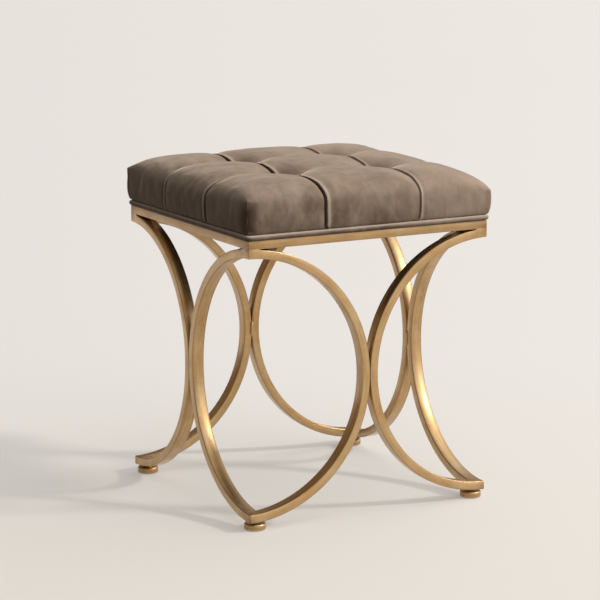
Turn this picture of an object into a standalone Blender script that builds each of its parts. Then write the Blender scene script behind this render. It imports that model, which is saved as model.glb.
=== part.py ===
"""Accent stool: a tufted square seat on paired half-round bars, with four screw-in feet.

Metres, +Z up. The origin is on the floor under the middle of the seat, and -Y is the front.
"""
import math

import bmesh
import bpy
from mathutils import Matrix, Vector

GAP = 0.0003
SAME_PLACE = 0.00001
MITRE_TOLERANCE = 0.000001

# Metal base
FRAME_WIDTH = 0.396
BAR_THICK = 0.0127
BAR_DEEP = 0.019
BAR_EDGE_BREAK = 0.0009
BAR_CURVE_STEPS = 20
WAIST_LAND = 0.0022
WELD_LENGTH = 0.024
WELD_WIDTH = 0.0048
WELD_RISE = 0.0016

# Feet and the inserts they screw into
FOOT_INSET = 0.015
FOOT_DIAMETER = 0.0318
FOOT_UNDERSIDE = 0.0010
FOOT_DISC_TOP = 0.0102
FOOT_ROUNDING = 0.0024
NECK_DIAMETER = 0.014
NECK_TOP = 0.0125
STUD_DIAMETER = 0.006
STUD_LENGTH = 0.0100
PAD_DIAMETER = 0.022
PAD_THICK = 0.0016
THREAD_CLEARANCE = 0.0003
INSERT_DIAMETER = 0.009
INSERT_LENGTH = 0.0104
BORE_EXTRA_DEPTH = 0.0004
TURNED_STEPS = 24
INSERT_STEPS = 16
INSERT_BORE_STEPS = 20
ROUNDING_STEPS = 3

# Seat board and what holds it down
BOARD_THICK = 0.012
BOARD_CORNER_RADIUS = 0.009
PLATE_CORNER_STEPS = 4
PLATE_LEG = 0.046
PLATE_THICK = 0.0025
SCREW_INSET = 0.014
SCREW_DIAMETER = 0.004
SCREW_BITE = 0.0095
SCREW_HEAD_DIAMETER = 0.0084
SCREW_HEAD_RISE = 0.0024
SCREW_HEAD_RIM = 0.0010
SCREW_HEAD_FLAT_DIAMETER = 0.0050
SCREW_HOLE_CLEARANCE = 0.0004
SCREW_STEPS = 12
SCREW_HOLE_STEPS = 16
DUST_COVER_THICK = 0.0008
DUST_COVER_SIDE_GAP = 0.004
TWINE_DIAMETER = 0.0018
TWINE_HOLE_CLEARANCE = 0.0005
TWINE_STEPS = 10
TWINE_HOLE_STEPS = 12
WASHER_DIAMETER = 0.018
WASHER_THICK = 0.0014
WASHER_STEPS = 20

# Cushion
COVER_THICK = 0.0015
SEAT_OVERHANG = 0.005
SEAM_OFFSET = 0.073
SEAM_HALF_WIDTH = 0.014
SEAM_DEPTH = 0.0060
SEAM_FALL = 1.2
DIMPLE_POWER = 1.3
SIDE_SEAM_DEPTH = 0.0025
TUFT_DEPTH = 0.024
TUFT_REACH = 0.030
EDGE_HEIGHT = 0.044
CORNER_LIFT = 0.012
CORNER_LIFT_POWER = 5
DOME_RISE = 0.035
CROWN_RISE = 0.005
SHOULDER_POWER = 8
SEAT_CORNER_RADIUS = 0.008
HEM_WIDTH = 0.022
SIDE_BULGE = 0.0005
SIDE_BULGE_HEIGHT = 0.030
WELT_OVERHANG = 0.0018
WELT_CLEAR_HEIGHT = 0.0010
OUTER_PANEL_STEPS = 5
OUTER_STEP_POWER = 1.7

# Piping
WELT_DIAMETER = 0.0075
WELT_OUTSET = 0.0042
WELT_CORNER_RADIUS = 0.0045
WELT_CORNER_STEPS = 6

# Levels and places that follow from the sizes above
MITRE_SETBACK = GAP * math.sin(math.pi / 4)
BAR_OUTER_RADIUS = FRAME_WIDTH / 2 - GAP / 2
BAR_UNDERSIDE = NECK_TOP + GAP
BAR_TOP = BAR_UNDERSIDE + 2 * BAR_OUTER_RADIUS + WAIST_LAND
WAIST_HEIGHT = (BAR_UNDERSIDE + BAR_TOP) / 2
RAIL_UNDERSIDE = BAR_TOP + GAP
RAIL_TOP = RAIL_UNDERSIDE + BAR_THICK
RAIL_INNER = FRAME_WIDTH / 2 - BAR_DEEP
FOOT_PLACE = FRAME_WIDTH / 2 - FOOT_INSET
SEAT_BASE = RAIL_TOP + GAP
SEAT_HALF = FRAME_WIDTH / 2 + SEAT_OVERHANG
WELT_HALF = FRAME_WIDTH / 2 + WELT_OUTSET - WELT_DIAMETER / 2
HEM_HALF = WELT_HALF - WELT_DIAMETER / 2 - GAP
BOARD_UNDERSIDE = SEAT_BASE + COVER_THICK + GAP
BOARD_TOP = BOARD_UNDERSIDE + BOARD_THICK
BOARD_HALF = HEM_HALF - COVER_THICK - GAP
DUST_COVER_TOP = SEAT_BASE - GAP
DUST_COVER_UNDERSIDE = DUST_COVER_TOP - DUST_COVER_THICK
PLATE_TOP = DUST_COVER_UNDERSIDE - GAP
PLATE_UNDERSIDE = PLATE_TOP - PLATE_THICK
PLATE_CORNER = RAIL_INNER - GAP
SCREW_PLACE = PLATE_CORNER - SCREW_INSET

CORNERS = {
    "front_left": (-1, -1),
    "front_right": (1, -1),
    "back_right": (1, 1),
    "back_left": (-1, 1),
}
FACES = ("front", "right", "back", "left")
BAR_NAMES = (
    ("front_bar_left", "front_bar_right"),
    ("right_bar_front", "right_bar_back"),
    ("back_bar_right", "back_bar_left"),
    ("left_bar_back", "left_bar_front"),
)


def clear_scene():
    """Removes what the scene holds and returns the two collections of the model."""
    for item in list(bpy.data.objects):
        bpy.data.objects.remove(item, do_unlink=True)
    parts = bpy.data.collections.new("accent_stool")
    cutters = bpy.data.collections.new("cutters")
    for group in (parts, cutters):
        bpy.context.scene.collection.children.link(group)
    return parts, cutters


def make_material(name, colour, roughness, metallic):
    """Returns a plain Principled material."""
    material = bpy.data.materials.new(name)
    material.use_nodes = True
    shader = material.node_tree.nodes["Principled BSDF"]
    shader.inputs["Base Color"].default_value = (*colour, 1.0)
    shader.inputs["Roughness"].default_value = roughness
    shader.inputs["Metallic"].default_value = metallic
    return material


def mesh_from(bm, name):
    """Turns a bmesh into a mesh with its faces pointing out."""
    bmesh.ops.recalc_face_normals(bm, faces=bm.faces)
    mesh = bpy.data.meshes.new(name)
    bm.to_mesh(mesh)
    bm.free()
    return mesh


def add_part(name, mesh, material, group, parent=None, smooth_angle=None):
    """Adds one named object with its own copy of the material."""
    item = bpy.data.objects.new(name, mesh)
    group.objects.link(item)
    item.parent = parent
    own = material.copy()
    own.name = name
    item.data.materials.clear()
    item.data.materials.append(own)
    if smooth_angle is not None:
        mesh.shade_smooth()
        mesh.set_sharp_from_angle(angle=math.radians(smooth_angle))
    return item


def add_cutter(name, mesh, group):
    """Adds a mesh that only cuts others."""
    item = bpy.data.objects.new(name, mesh)
    group.objects.link(item)
    item.hide_render = True
    item.display_type = "WIRE"
    return item


def cut_with(item, cutter):
    """Subtracts a cutter from an object."""
    cut = item.modifiers.new("cut_" + cutter.name, "BOOLEAN")
    cut.operation = "DIFFERENCE"
    cut.solver = "EXACT"
    cut.object = cutter


def add_turned(name, profile, material, group, parent=None, steps=TURNED_STEPS, closed=False):
    """Adds a piece that a profile of radius and height pairs makes about Z, from top to bottom."""
    bm = bmesh.new()
    verts = [bm.verts.new((radius, 0, height)) for radius, height in profile]
    for pair in zip(verts, verts[1:]):
        bm.edges.new(pair)
    if closed:
        bm.edges.new((verts[-1], verts[0]))
    item = add_part(name, mesh_from(bm, name), material, group, parent)
    turn = item.modifiers.new("turn", "SCREW")
    turn.steps = steps
    turn.render_steps = steps
    turn.use_smooth_shade = True
    turn.use_merge_vertices = True
    turn.merge_threshold = SAME_PLACE
    item.modifiers.new("flat_caps", "WEIGHTED_NORMAL")
    return item


def arc_points(centre_r, centre_z, radius, start, end, steps):
    """Points of a fillet in a profile, with the angles in degrees from the radius direction."""
    points = []
    for step in range(steps + 1):
        angle = math.radians(start + (end - start) * step / steps)
        points.append((centre_r + radius * math.cos(angle), centre_z + radius * math.sin(angle)))
    return points


def add_cylinder(bm, radius, low, high, place, segments):
    """Adds an upright closed cylinder to a bmesh."""
    middle = Matrix.Translation((place[0], place[1], (low + high) / 2))
    bmesh.ops.create_cone(bm, cap_ends=True, segments=segments, radius1=radius,
                          radius2=radius, depth=high - low, matrix=middle)


def bar_section(bm, top, thick):
    """Adds the rectangular section of a bar with broken edges, in the plane x = 0."""
    broken = BAR_EDGE_BREAK
    corners = (
        (0, top - broken), (broken, top),
        (BAR_DEEP - broken, top), (BAR_DEEP, top - broken),
        (BAR_DEEP, top - thick + broken), (BAR_DEEP - broken, top - thick),
        (broken, top - thick), (0, top - thick + broken),
    )
    verts = [bm.verts.new((0, y, z)) for y, z in corners]
    return [bm.edges.new((verts[i - 1], verts[i])) for i in range(len(verts))]


def close_ends(bm):
    """Caps the open ends of a swept bar."""
    bmesh.ops.holes_fill(bm, edges=[edge for edge in bm.edges if edge.is_boundary], sides=0)


def mitre(bm, place, normal):
    """Cuts a bar at a mitre plane and caps it there, keeping the side behind the normal."""
    bmesh.ops.bisect_plane(bm, geom=bm.verts[:] + bm.edges[:] + bm.faces[:], dist=MITRE_TOLERANCE,
                           plane_co=place, plane_no=normal, clear_outer=True)
    close_ends(bm)


def level_ends(bm):
    """Levels the outer side of a bent bar's ends as far as the first step of the bend."""
    step = math.pi / 2 / BAR_CURVE_STEPS
    reach = BAR_OUTER_RADIUS * math.sin(step)
    drop = BAR_OUTER_RADIUS * (1 - math.cos(step))
    level = BAR_OUTER_RADIUS + WAIST_LAND / 2 - drop - BAR_EDGE_BREAK - SAME_PLACE
    for vert in bm.verts:
        rise = vert.co.z - WAIST_HEIGHT
        if reach / 2 < vert.co.x < reach + SAME_PLACE and abs(rise) > level:
            vert.co.z += math.copysign(drop, rise)


def bent_bar_mesh():
    """The half-round bar, with its mitred ends at the corner x = 0 and its outer face at y = 0."""
    bm = bmesh.new()
    edges = bar_section(bm, BAR_TOP, BAR_THICK)
    lower_centre = BAR_UNDERSIDE + BAR_OUTER_RADIUS
    upper_centre = lower_centre + WAIST_LAND
    verts = list({vert for edge in edges for vert in edge.verts})
    bend = {"axis": (0, 1, 0), "angle": math.pi / 2, "steps": BAR_CURVE_STEPS}
    swept = bmesh.ops.spin(bm, geom=verts + edges, cent=(0, 0, upper_centre), **bend)
    last = [item for item in swept["geom_last"] if isinstance(item, bmesh.types.BMEdge)]
    drawn = bmesh.ops.extrude_edge_only(bm, edges=last)["geom"]
    land = [item for item in drawn if isinstance(item, bmesh.types.BMVert)]
    bmesh.ops.translate(bm, verts=land, vec=(0, 0, -WAIST_LAND))
    last = [item for item in drawn if isinstance(item, bmesh.types.BMEdge)]
    bmesh.ops.spin(bm, geom=land + last, cent=(0, 0, lower_centre), **bend)
    level_ends(bm)
    close_ends(bm)
    mitre(bm, (MITRE_SETBACK, 0, 0), (-1, 1, 0))
    return mesh_from(bm, "bent_bar")


def rail_mesh():
    """A straight rail of the seat frame, mitred at both ends, with its outer face at y = 0."""
    bm = bmesh.new()
    edges = bar_section(bm, RAIL_TOP, BAR_THICK)
    bmesh.ops.translate(bm, verts=bm.verts, vec=(-FRAME_WIDTH / 2, 0, 0))
    drawn = bmesh.ops.extrude_edge_only(bm, edges=edges)["geom"]
    far_end = [item for item in drawn if isinstance(item, bmesh.types.BMVert)]
    bmesh.ops.translate(bm, verts=far_end, vec=(FRAME_WIDTH, 0, 0))
    close_ends(bm)
    end = FRAME_WIDTH / 2 - MITRE_SETBACK
    mitre(bm, (-end, 0, 0), (-1, 1, 0))
    mitre(bm, (end, 0, 0), (1, 1, 0))
    return mesh_from(bm, "rail")


def build_base(parts, cutters, gold):
    """Adds the rails, the bent bars and the welds at their waists."""
    bores = {}
    for corner, (side_x, side_y) in CORNERS.items():
        bm = bmesh.new()
        place = (side_x * FOOT_PLACE, side_y * FOOT_PLACE)
        top = BAR_UNDERSIDE + GAP + INSERT_LENGTH + BORE_EXTRA_DEPTH
        add_cylinder(bm, INSERT_DIAMETER / 2 + GAP, NECK_TOP - BAR_THICK, top, place,
                     INSERT_BORE_STEPS)
        bores[corner] = add_cutter("insert_bore_" + corner, mesh_from(bm, "bore"), cutters)
    corner_order = list(CORNERS)
    for turn, face in enumerate(FACES):
        frame = bpy.data.objects.new(face + "_face", None)
        parts.objects.link(frame)
        frame.rotation_euler = (0, 0, turn * math.pi / 2)
        rail = add_part("rail_" + face, rail_mesh(), gold, parts, frame)
        rail.location = (0, -FRAME_WIDTH / 2, 0)
        first, second = BAR_NAMES[turn]
        bar = add_part(first, bent_bar_mesh(), gold, parts, frame, 30)
        bar.location = (-FRAME_WIDTH / 2, -FRAME_WIDTH / 2, 0)
        cut_with(bar, bores[corner_order[turn]])
        twin = add_part(second, bent_bar_mesh(), gold, parts, frame, 30)
        twin.location = (FRAME_WIDTH / 2, -FRAME_WIDTH / 2, 2 * WAIST_HEIGHT)
        twin.rotation_euler = (0, math.pi, 0)
        cut_with(twin, bores[corner_order[(turn + 1) % len(FACES)]])
        add_part("waist_weld_" + face, waist_weld_mesh(), gold, parts, frame, 40)


def waist_weld_mesh():
    """A weld bead on the inner side of the front face, where its two bars touch."""
    bm = bmesh.new()
    seat = -RAIL_INNER + GAP
    shape = Matrix.Diagonal((WELD_WIDTH / 2, WELD_RISE, WELD_LENGTH / 2, 1))
    place = Matrix.Translation((0, seat, WAIST_HEIGHT))
    bmesh.ops.create_uvsphere(bm, u_segments=12, v_segments=8, radius=1, matrix=place @ shape)
    mitre(bm, (0, seat, 0), (0, -1, 0))
    return mesh_from(bm, "waist_weld")


def foot_profile():
    """Outline of a foot from the top of its stud down to the recess for its pad."""
    radius = FOOT_DIAMETER / 2
    flat = radius - FOOT_ROUNDING
    recess = PAD_DIAMETER / 2 + GAP
    recess_top = PAD_THICK + GAP
    stud = STUD_DIAMETER / 2
    neck = NECK_DIAMETER / 2
    points = [(0, NECK_TOP + STUD_LENGTH), (stud, NECK_TOP + STUD_LENGTH), (stud, NECK_TOP),
              (neck, NECK_TOP), (neck, FOOT_DISC_TOP)]
    points += arc_points(flat, FOOT_DISC_TOP - FOOT_ROUNDING, FOOT_ROUNDING, 90, 0,
                         ROUNDING_STEPS)
    points += arc_points(flat, FOOT_UNDERSIDE + FOOT_ROUNDING, FOOT_ROUNDING, 0, -90,
                         ROUNDING_STEPS)
    points += [(recess, FOOT_UNDERSIDE), (recess, recess_top), (0, recess_top)]
    return points


def build_feet(parts, gold, rubber, steel):
    """Adds the feet, their pads and the threaded inserts."""
    pad_radius = PAD_DIAMETER / 2
    pad = [(0, PAD_THICK), (pad_radius, PAD_THICK), (pad_radius, 0), (0, 0)]
    bore = STUD_DIAMETER / 2 + THREAD_CLEARANCE
    low = BAR_UNDERSIDE + GAP
    high = low + INSERT_LENGTH
    outer = INSERT_DIAMETER / 2
    sleeve = [(outer, high), (outer, low), (bore, low), (bore, high)]
    for corner, (side_x, side_y) in CORNERS.items():
        axis = bpy.data.objects.new("foot_axis_" + corner, None)
        parts.objects.link(axis)
        axis.location = (side_x * FOOT_PLACE, side_y * FOOT_PLACE, 0)
        add_turned("foot_" + corner, foot_profile(), gold, parts, axis)
        add_turned("foot_pad_" + corner, pad, rubber, parts, axis)
        add_turned("foot_insert_" + corner, sleeve, steel, parts, axis, INSERT_STEPS, True)


def seat_stations():
    """Places of the cushion's grid lines along one side, from edge to edge."""
    outer = SEAT_HALF - SEAM_OFFSET - SEAM_HALF_WIDTH
    edge = [SEAT_HALF - outer * (step / OUTER_PANEL_STEPS) ** OUTER_STEP_POWER
            for step in range(OUTER_PANEL_STEPS)]
    seam = [SEAM_OFFSET + SEAM_HALF_WIDTH, SEAM_OFFSET, SEAM_OFFSET - SEAM_HALF_WIDTH]
    half = edge + seam
    return [-place for place in half] + [0.0] + half[::-1]


def seam_closeness(place):
    """Is 1 on a seam and falls to 0 away from it."""
    distance = abs(abs(place) - SEAM_OFFSET) / SEAM_HALF_WIDTH
    return math.exp(-SEAM_FALL * distance ** DIMPLE_POWER)


def shoulder(place):
    """Is 1 over the middle of the seat and drops to 0 at its edge."""
    return math.sqrt(max(0.0, 1 - (abs(place) / SEAT_HALF) ** SHOULDER_POWER))


def seat_height(x, y):
    """Height of the cushion's top over a place of the seat."""
    across = abs(x) / SEAT_HALF
    along = abs(y) / SEAT_HALF
    height = SEAT_BASE + EDGE_HEIGHT + CORNER_LIFT * (across * along) ** CORNER_LIFT_POWER
    height += DOME_RISE * shoulder(x) * shoulder(y)
    height += CROWN_RISE * (1 - across ** 2) * (1 - along ** 2)
    fade = shoulder(x) * shoulder(y)
    height -= SEAM_DEPTH * fade * max(seam_closeness(x), seam_closeness(y))
    reach = math.hypot(abs(x) - SEAM_OFFSET, abs(y) - SEAM_OFFSET) / TUFT_REACH
    return height - TUFT_DEPTH * math.exp(-reach ** DIMPLE_POWER)


def rounded_ring(x, y, half, radius):
    """Moves a place of the seat's square outline onto a rounded square of another size."""
    x, y = (value * half / SEAT_HALF for value in (x, y))
    over_x = abs(x) - half + radius
    over_y = abs(y) - half + radius
    if min(over_x, over_y) <= 0:
        return x, y
    shrink = max(over_x, over_y) / math.hypot(over_x, over_y)
    return (math.copysign(half - radius + over_x * shrink, x),
            math.copysign(half - radius + over_y * shrink, y))


def side_rows():
    """Rows below the cushion's edge: half width, height, corner radius and seam depth."""
    welt_top = SEAT_BASE + WELT_DIAMETER
    over_welt = SEAT_HALF - WELT_OVERHANG
    corner = SEAT_CORNER_RADIUS
    return (
        (SEAT_HALF + SIDE_BULGE, SEAT_BASE + SIDE_BULGE_HEIGHT, corner, SIDE_SEAM_DEPTH),
        (over_welt, welt_top + WELT_CLEAR_HEIGHT, corner, SIDE_SEAM_DEPTH / 2),
        (HEM_HALF, welt_top - GAP, corner / 2, 0.0),
        (HEM_HALF, SEAT_BASE, corner / 2, 0.0),
        (HEM_HALF - HEM_WIDTH, SEAT_BASE, corner / 2, 0.0),
    )


def cushion_surface():
    """Open outer surface of the cushion: the tufted top, the sides and the turned-in hem."""
    stations = seat_stations()
    cells = len(stations) - 1
    bm = bmesh.new()
    bmesh.ops.create_grid(bm, x_segments=cells, y_segments=cells, size=cells / 2)
    plan = {}
    for vert in bm.verts:
        x, y = (stations[round(value + cells / 2)] for value in vert.co.xy)
        ring_x, ring_y = rounded_ring(x, y, SEAT_HALF, SEAT_CORNER_RADIUS)
        vert.co = (ring_x, ring_y, seat_height(x, y))
        plan[vert] = (x, y)
    edges = [edge for edge in bm.edges if edge.is_boundary]
    for half, height, radius, depth in side_rows():
        above = {vert for edge in edges for vert in edge.verts}
        above_at = {tuple(vert.co): plan[vert] for vert in above}
        drawn = bmesh.ops.extrude_edge_only(bm, edges=edges)["geom"]
        edges = [item for item in drawn if isinstance(item, bmesh.types.BMEdge)]
        for vert in [item for item in drawn if isinstance(item, bmesh.types.BMVert)]:
            x, y = above_at[tuple(vert.co)]
            plan[vert] = (x, y)
            ring_x, ring_y = rounded_ring(x, y, half, radius)
            pull_x = depth * seam_closeness(y) if abs(x) == SEAT_HALF else 0
            pull_y = depth * seam_closeness(x) if abs(y) == SEAT_HALF else 0
            vert.co = (ring_x - math.copysign(pull_x, x), ring_y - math.copysign(pull_y, y),
                       height)
    return mesh_from(bm, "cushion_surface")


def add_thickness(item, depth):
    """Gives an open surface a wall on its inner side."""
    wall = item.modifiers.new("wall", "SOLIDIFY")
    wall.thickness = depth
    wall.offset = -1
    wall.use_even_offset = False


def foam_mesh(surface):
    """The foam that fills the cover down to the board, with its tuft dimples."""
    bm = bmesh.new()
    bm.from_mesh(surface)
    bm.normal_update()
    inner = [(vert, vert.co - vert.normal * (COVER_THICK + GAP)) for vert in bm.verts]
    for vert, place in inner:
        vert.co = place
    mitre(bm, (0, 0, BOARD_TOP + GAP), (0, 0, -1))
    return mesh_from(bm, "foam_core")


def build_cushion(parts, cutters, velvet, foam):
    """Adds the velvet cover and the foam core inside it."""
    surface = cushion_surface()
    cover = add_part("seat_cover", surface.copy(), velvet, parts, None, 50)
    add_thickness(cover, COVER_THICK)
    core = add_part("foam_core", foam_mesh(surface), foam, parts, None, 50)
    bpy.data.meshes.remove(surface)
    cut_with(core, twine_hole_cutter("foam_twine_holes", cutters, BOARD_UNDERSIDE,
                                     SEAT_BASE + EDGE_HEIGHT + DOME_RISE + CROWN_RISE))


def corner_places(distance):
    """Names of the four corners with the place at a distance along both axes in each."""
    return [(corner, (side_x * distance, side_y * distance))
            for corner, (side_x, side_y) in CORNERS.items()]


def hole_cutter(name, cutters, distance, radius, low, high, segments):
    """Four upright holes, one in each quarter of the seat."""
    bm = bmesh.new()
    for _, place in corner_places(distance):
        add_cylinder(bm, radius, low, high, place, segments)
    return add_cutter(name, mesh_from(bm, name), cutters)


def twine_hole_cutter(name, cutters, low, high):
    """Clearance holes for the tuft twines between two levels."""
    radius = TWINE_DIAMETER / 2 + TWINE_HOLE_CLEARANCE
    return hole_cutter(name, cutters, SEAM_OFFSET, radius, low, high, TWINE_HOLE_STEPS)


def build_tufting(parts, twine, nylon, cutters):
    """Adds the twines that pull the tufts down and the washers that hold them."""
    washer_top = BOARD_UNDERSIDE - GAP
    holes = twine_hole_cutter("washer_twine_holes", cutters, PLATE_TOP, BOARD_TOP)
    for corner, (x, y) in corner_places(SEAM_OFFSET):
        bm = bmesh.new()
        high = seat_height(x, y) - COVER_THICK - GAP
        add_cylinder(bm, TWINE_DIAMETER / 2, SEAT_BASE, high, (x, y), TWINE_STEPS)
        add_part("tuft_twine_" + corner, mesh_from(bm, "tuft_twine"), twine, parts, None, 40)
        bm = bmesh.new()
        add_cylinder(bm, WASHER_DIAMETER / 2, washer_top - WASHER_THICK, washer_top, (x, y),
                     WASHER_STEPS)
        washer = add_part("tuft_washer_" + corner, mesh_from(bm, "tuft_washer"), nylon, parts,
                          None, 40)
        cut_with(washer, holes)


def rounded_plate(half, low, high, radius):
    """A flat square plate with round corners."""
    bm = bmesh.new()
    bmesh.ops.create_cube(bm, size=1)
    bmesh.ops.scale(bm, verts=bm.verts, vec=(2 * half, 2 * half, high - low))
    bmesh.ops.translate(bm, verts=bm.verts, vec=(0, 0, (low + high) / 2))
    upright = [edge for edge in bm.edges if edge.verts[0].co.xy == edge.verts[1].co.xy]
    bmesh.ops.bevel(bm, geom=upright, offset=radius, segments=PLATE_CORNER_STEPS,
                    profile=0.5, affect="EDGES")
    return bm


def screw_hole_cutter(name, cutters, low, high):
    """Clearance holes for the seat screws between two levels."""
    radius = SCREW_DIAMETER / 2 + SCREW_HOLE_CLEARANCE
    return hole_cutter(name, cutters, SCREW_PLACE, radius, low, high, SCREW_HOLE_STEPS)


def build_board(parts, cutters, wood, black_cloth):
    """Adds the seat board and the dust cover under it."""
    bm = rounded_plate(BOARD_HALF, BOARD_UNDERSIDE, BOARD_TOP, BOARD_CORNER_RADIUS)
    board = add_part("seat_board", mesh_from(bm, "seat_board"), wood, parts)
    cut_with(board, screw_hole_cutter("board_screw_holes", cutters, PLATE_TOP,
                                      BOARD_UNDERSIDE + SCREW_BITE + GAP))
    cut_with(board, twine_hole_cutter("board_twine_holes", cutters, PLATE_TOP,
                                      BOARD_TOP + BOARD_THICK))
    half = RAIL_INNER - DUST_COVER_SIDE_GAP
    bm = rounded_plate(half, DUST_COVER_UNDERSIDE, DUST_COVER_TOP, DUST_COVER_SIDE_GAP)
    sheet = add_part("dust_cover", mesh_from(bm, "dust_cover"), black_cloth, parts)
    cut_with(sheet, screw_hole_cutter("dust_cover_screw_holes", cutters, PLATE_UNDERSIDE,
                                      BOARD_TOP))


def plate_mesh():
    """Three-cornered plate that fills the inside of a rail corner, drawn for the front left."""
    bm = bmesh.new()
    corner = Vector((-PLATE_CORNER, -PLATE_CORNER, PLATE_UNDERSIDE))
    legs = (Vector((0, 0, 0)), Vector((PLATE_LEG, 0, 0)), Vector((0, PLATE_LEG, 0)))
    verts = [bm.verts.new(corner + leg) for leg in legs]
    face = bm.faces.new(verts)
    drawn = bmesh.ops.extrude_face_region(bm, geom=[face])["geom"]
    top = [item for item in drawn if isinstance(item, bmesh.types.BMVert)]
    bmesh.ops.translate(bm, verts=top, vec=(0, 0, PLATE_THICK))
    return mesh_from(bm, "corner_plate")


def build_fixings(parts, cutters, steel):
    """Adds the corner plates in the rail frame and the screws that hold the seat board."""
    holes = screw_hole_cutter("plate_screw_holes", cutters, PLATE_UNDERSIDE - PLATE_THICK,
                              BOARD_UNDERSIDE)
    head_top = PLATE_UNDERSIDE - GAP
    shank = SCREW_DIAMETER / 2
    tip = BOARD_UNDERSIDE + SCREW_BITE
    head = SCREW_HEAD_DIAMETER / 2
    head_low = head_top - SCREW_HEAD_RISE
    screw = [(0, tip), (shank, tip), (shank, head_top), (head, head_top),
             (head, head_top - SCREW_HEAD_RIM), (SCREW_HEAD_FLAT_DIAMETER / 2, head_low),
             (0, head_low)]
    for turn, (corner, (x, y)) in enumerate(corner_places(SCREW_PLACE)):
        plate = add_part("corner_plate_" + corner, plate_mesh(), steel, parts)
        plate.rotation_euler = (0, 0, turn * math.pi / 2)
        cut_with(plate, holes)
        item = add_turned("seat_screw_" + corner, screw, steel, parts, None, SCREW_STEPS)
        item.location = (x, y, 0)


def build_welt(parts, velvet):
    """Adds the piping, a closed cord round the foot of the cushion."""
    curve = bpy.data.curves.new("welt_cord", "CURVE")
    curve.dimensions = "3D"
    curve.bevel_depth = WELT_DIAMETER / 2
    curve.bevel_resolution = 2
    points = []
    reach = WELT_HALF - WELT_CORNER_RADIUS
    height = SEAT_BASE + WELT_DIAMETER / 2
    for turn in range(len(FACES)):
        for step in range(WELT_CORNER_STEPS + 1):
            angle = math.radians(-180 + 90 * (turn + step / WELT_CORNER_STEPS))
            centre = Vector((-reach, -reach)).to_3d()
            centre.rotate(Matrix.Rotation(turn * math.pi / 2, 3, "Z"))
            points.append((centre.x + WELT_CORNER_RADIUS * math.cos(angle),
                           centre.y + WELT_CORNER_RADIUS * math.sin(angle), height, 1))
    spline = curve.splines.new("POLY")
    spline.points.add(len(points) - 1)
    for point, place in zip(spline.points, points):
        point.co = place
    spline.use_cyclic_u = True
    add_part("welt_cord", curve, velvet, parts)


def main():
    """Builds the whole stool."""
    parts, cutters = clear_scene()
    gold = make_material("gold", (0.62, 0.44, 0.20), 0.34, 1.0)
    velvet = make_material("velvet", (0.30, 0.24, 0.20), 0.85, 0.0)
    foam = make_material("foam", (0.86, 0.80, 0.62), 0.9, 0.0)
    wood = make_material("wood", (0.62, 0.46, 0.28), 0.7, 0.0)
    steel = make_material("steel", (0.62, 0.62, 0.60), 0.35, 1.0)
    rubber = make_material("rubber", (0.03, 0.03, 0.03), 0.8, 0.0)
    nylon = make_material("nylon", (0.82, 0.81, 0.77), 0.5, 0.0)
    black_cloth = make_material("black_cloth", (0.02, 0.02, 0.02), 0.95, 0.0)
    twine = make_material("twine", (0.80, 0.77, 0.68), 0.8, 0.0)
    build_base(parts, cutters, gold)
    build_feet(parts, gold, rubber, steel)
    build_board(parts, cutters, wood, black_cloth)
    build_fixings(parts, cutters, steel)
    build_tufting(parts, twine, nylon, cutters)
    build_cushion(parts, cutters, velvet, foam)
    build_welt(parts, velvet)


main()
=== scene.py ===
"""Accent stool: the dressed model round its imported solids.

Metres, +Z up, -Y is the front, and the origin is on the floor under the middle of the seat.
"""
import logging
import math
from collections.abc import Sequence
from dataclasses import dataclass
from enum import Enum

import bmesh
import bpy
import numpy as np
from bmesh.types import BMEdge, BMesh, BMVert
from bpy.types import Material, Node, NodeSocket, Object
from mathutils import Matrix, Vector, kdtree, noise


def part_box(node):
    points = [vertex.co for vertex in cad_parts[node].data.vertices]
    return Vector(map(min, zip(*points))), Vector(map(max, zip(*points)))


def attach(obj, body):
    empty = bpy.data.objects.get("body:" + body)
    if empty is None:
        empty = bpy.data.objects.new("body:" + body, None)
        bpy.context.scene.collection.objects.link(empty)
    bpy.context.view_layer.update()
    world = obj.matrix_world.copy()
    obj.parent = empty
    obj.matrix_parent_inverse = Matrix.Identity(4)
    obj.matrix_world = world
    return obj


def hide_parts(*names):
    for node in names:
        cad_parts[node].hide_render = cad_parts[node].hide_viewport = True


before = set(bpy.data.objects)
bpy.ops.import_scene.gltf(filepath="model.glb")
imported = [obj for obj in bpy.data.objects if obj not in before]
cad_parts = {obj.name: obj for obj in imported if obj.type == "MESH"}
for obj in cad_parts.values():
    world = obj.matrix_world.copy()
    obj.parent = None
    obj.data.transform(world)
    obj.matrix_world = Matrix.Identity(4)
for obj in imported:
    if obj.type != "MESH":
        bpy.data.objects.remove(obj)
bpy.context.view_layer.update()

STOOL = "stool"
MM = 0.001
WELD = 0.00001
CUT = 0.000001
QUARTER = math.pi / 2
SOCKET_KINDS = {1: "NodeSocketFloat", 3: "NodeSocketVector", 4: "NodeSocketColor"}

Pair = tuple[float, float]
Triple = tuple[float, float, float]
Colour = Triple
Value = float | tuple | NodeSocket
Inputs = dict[str | int, Value]
Outputs = bpy.types.NodeOutputs

logging.basicConfig(level=logging.INFO, format="%(message)s")
LOG = logging.getLogger("accent_stool")


class Round(Enum):
    """Places that follow one another round the stool, a quarter turn apart."""

    @property
    def label(self) -> str:
        """The name as the solids use it."""
        return self.name.lower()

    @property
    def turn(self) -> Matrix:
        """The turn that brings the first place here."""
        return Matrix.Rotation(list(type(self)).index(self) * QUARTER, 4, "Z")


class Corner(Round):
    """The four corners, each with the signs of its x and y."""

    FRONT_LEFT = (-1, -1)
    FRONT_RIGHT = (1, -1)
    BACK_RIGHT = (1, 1)
    BACK_LEFT = (-1, 1)

    def at(self, out: float) -> Triple:
        """The place this far out from the middle, both ways."""
        return self.value[0] * out, self.value[1] * out, 0.0


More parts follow.
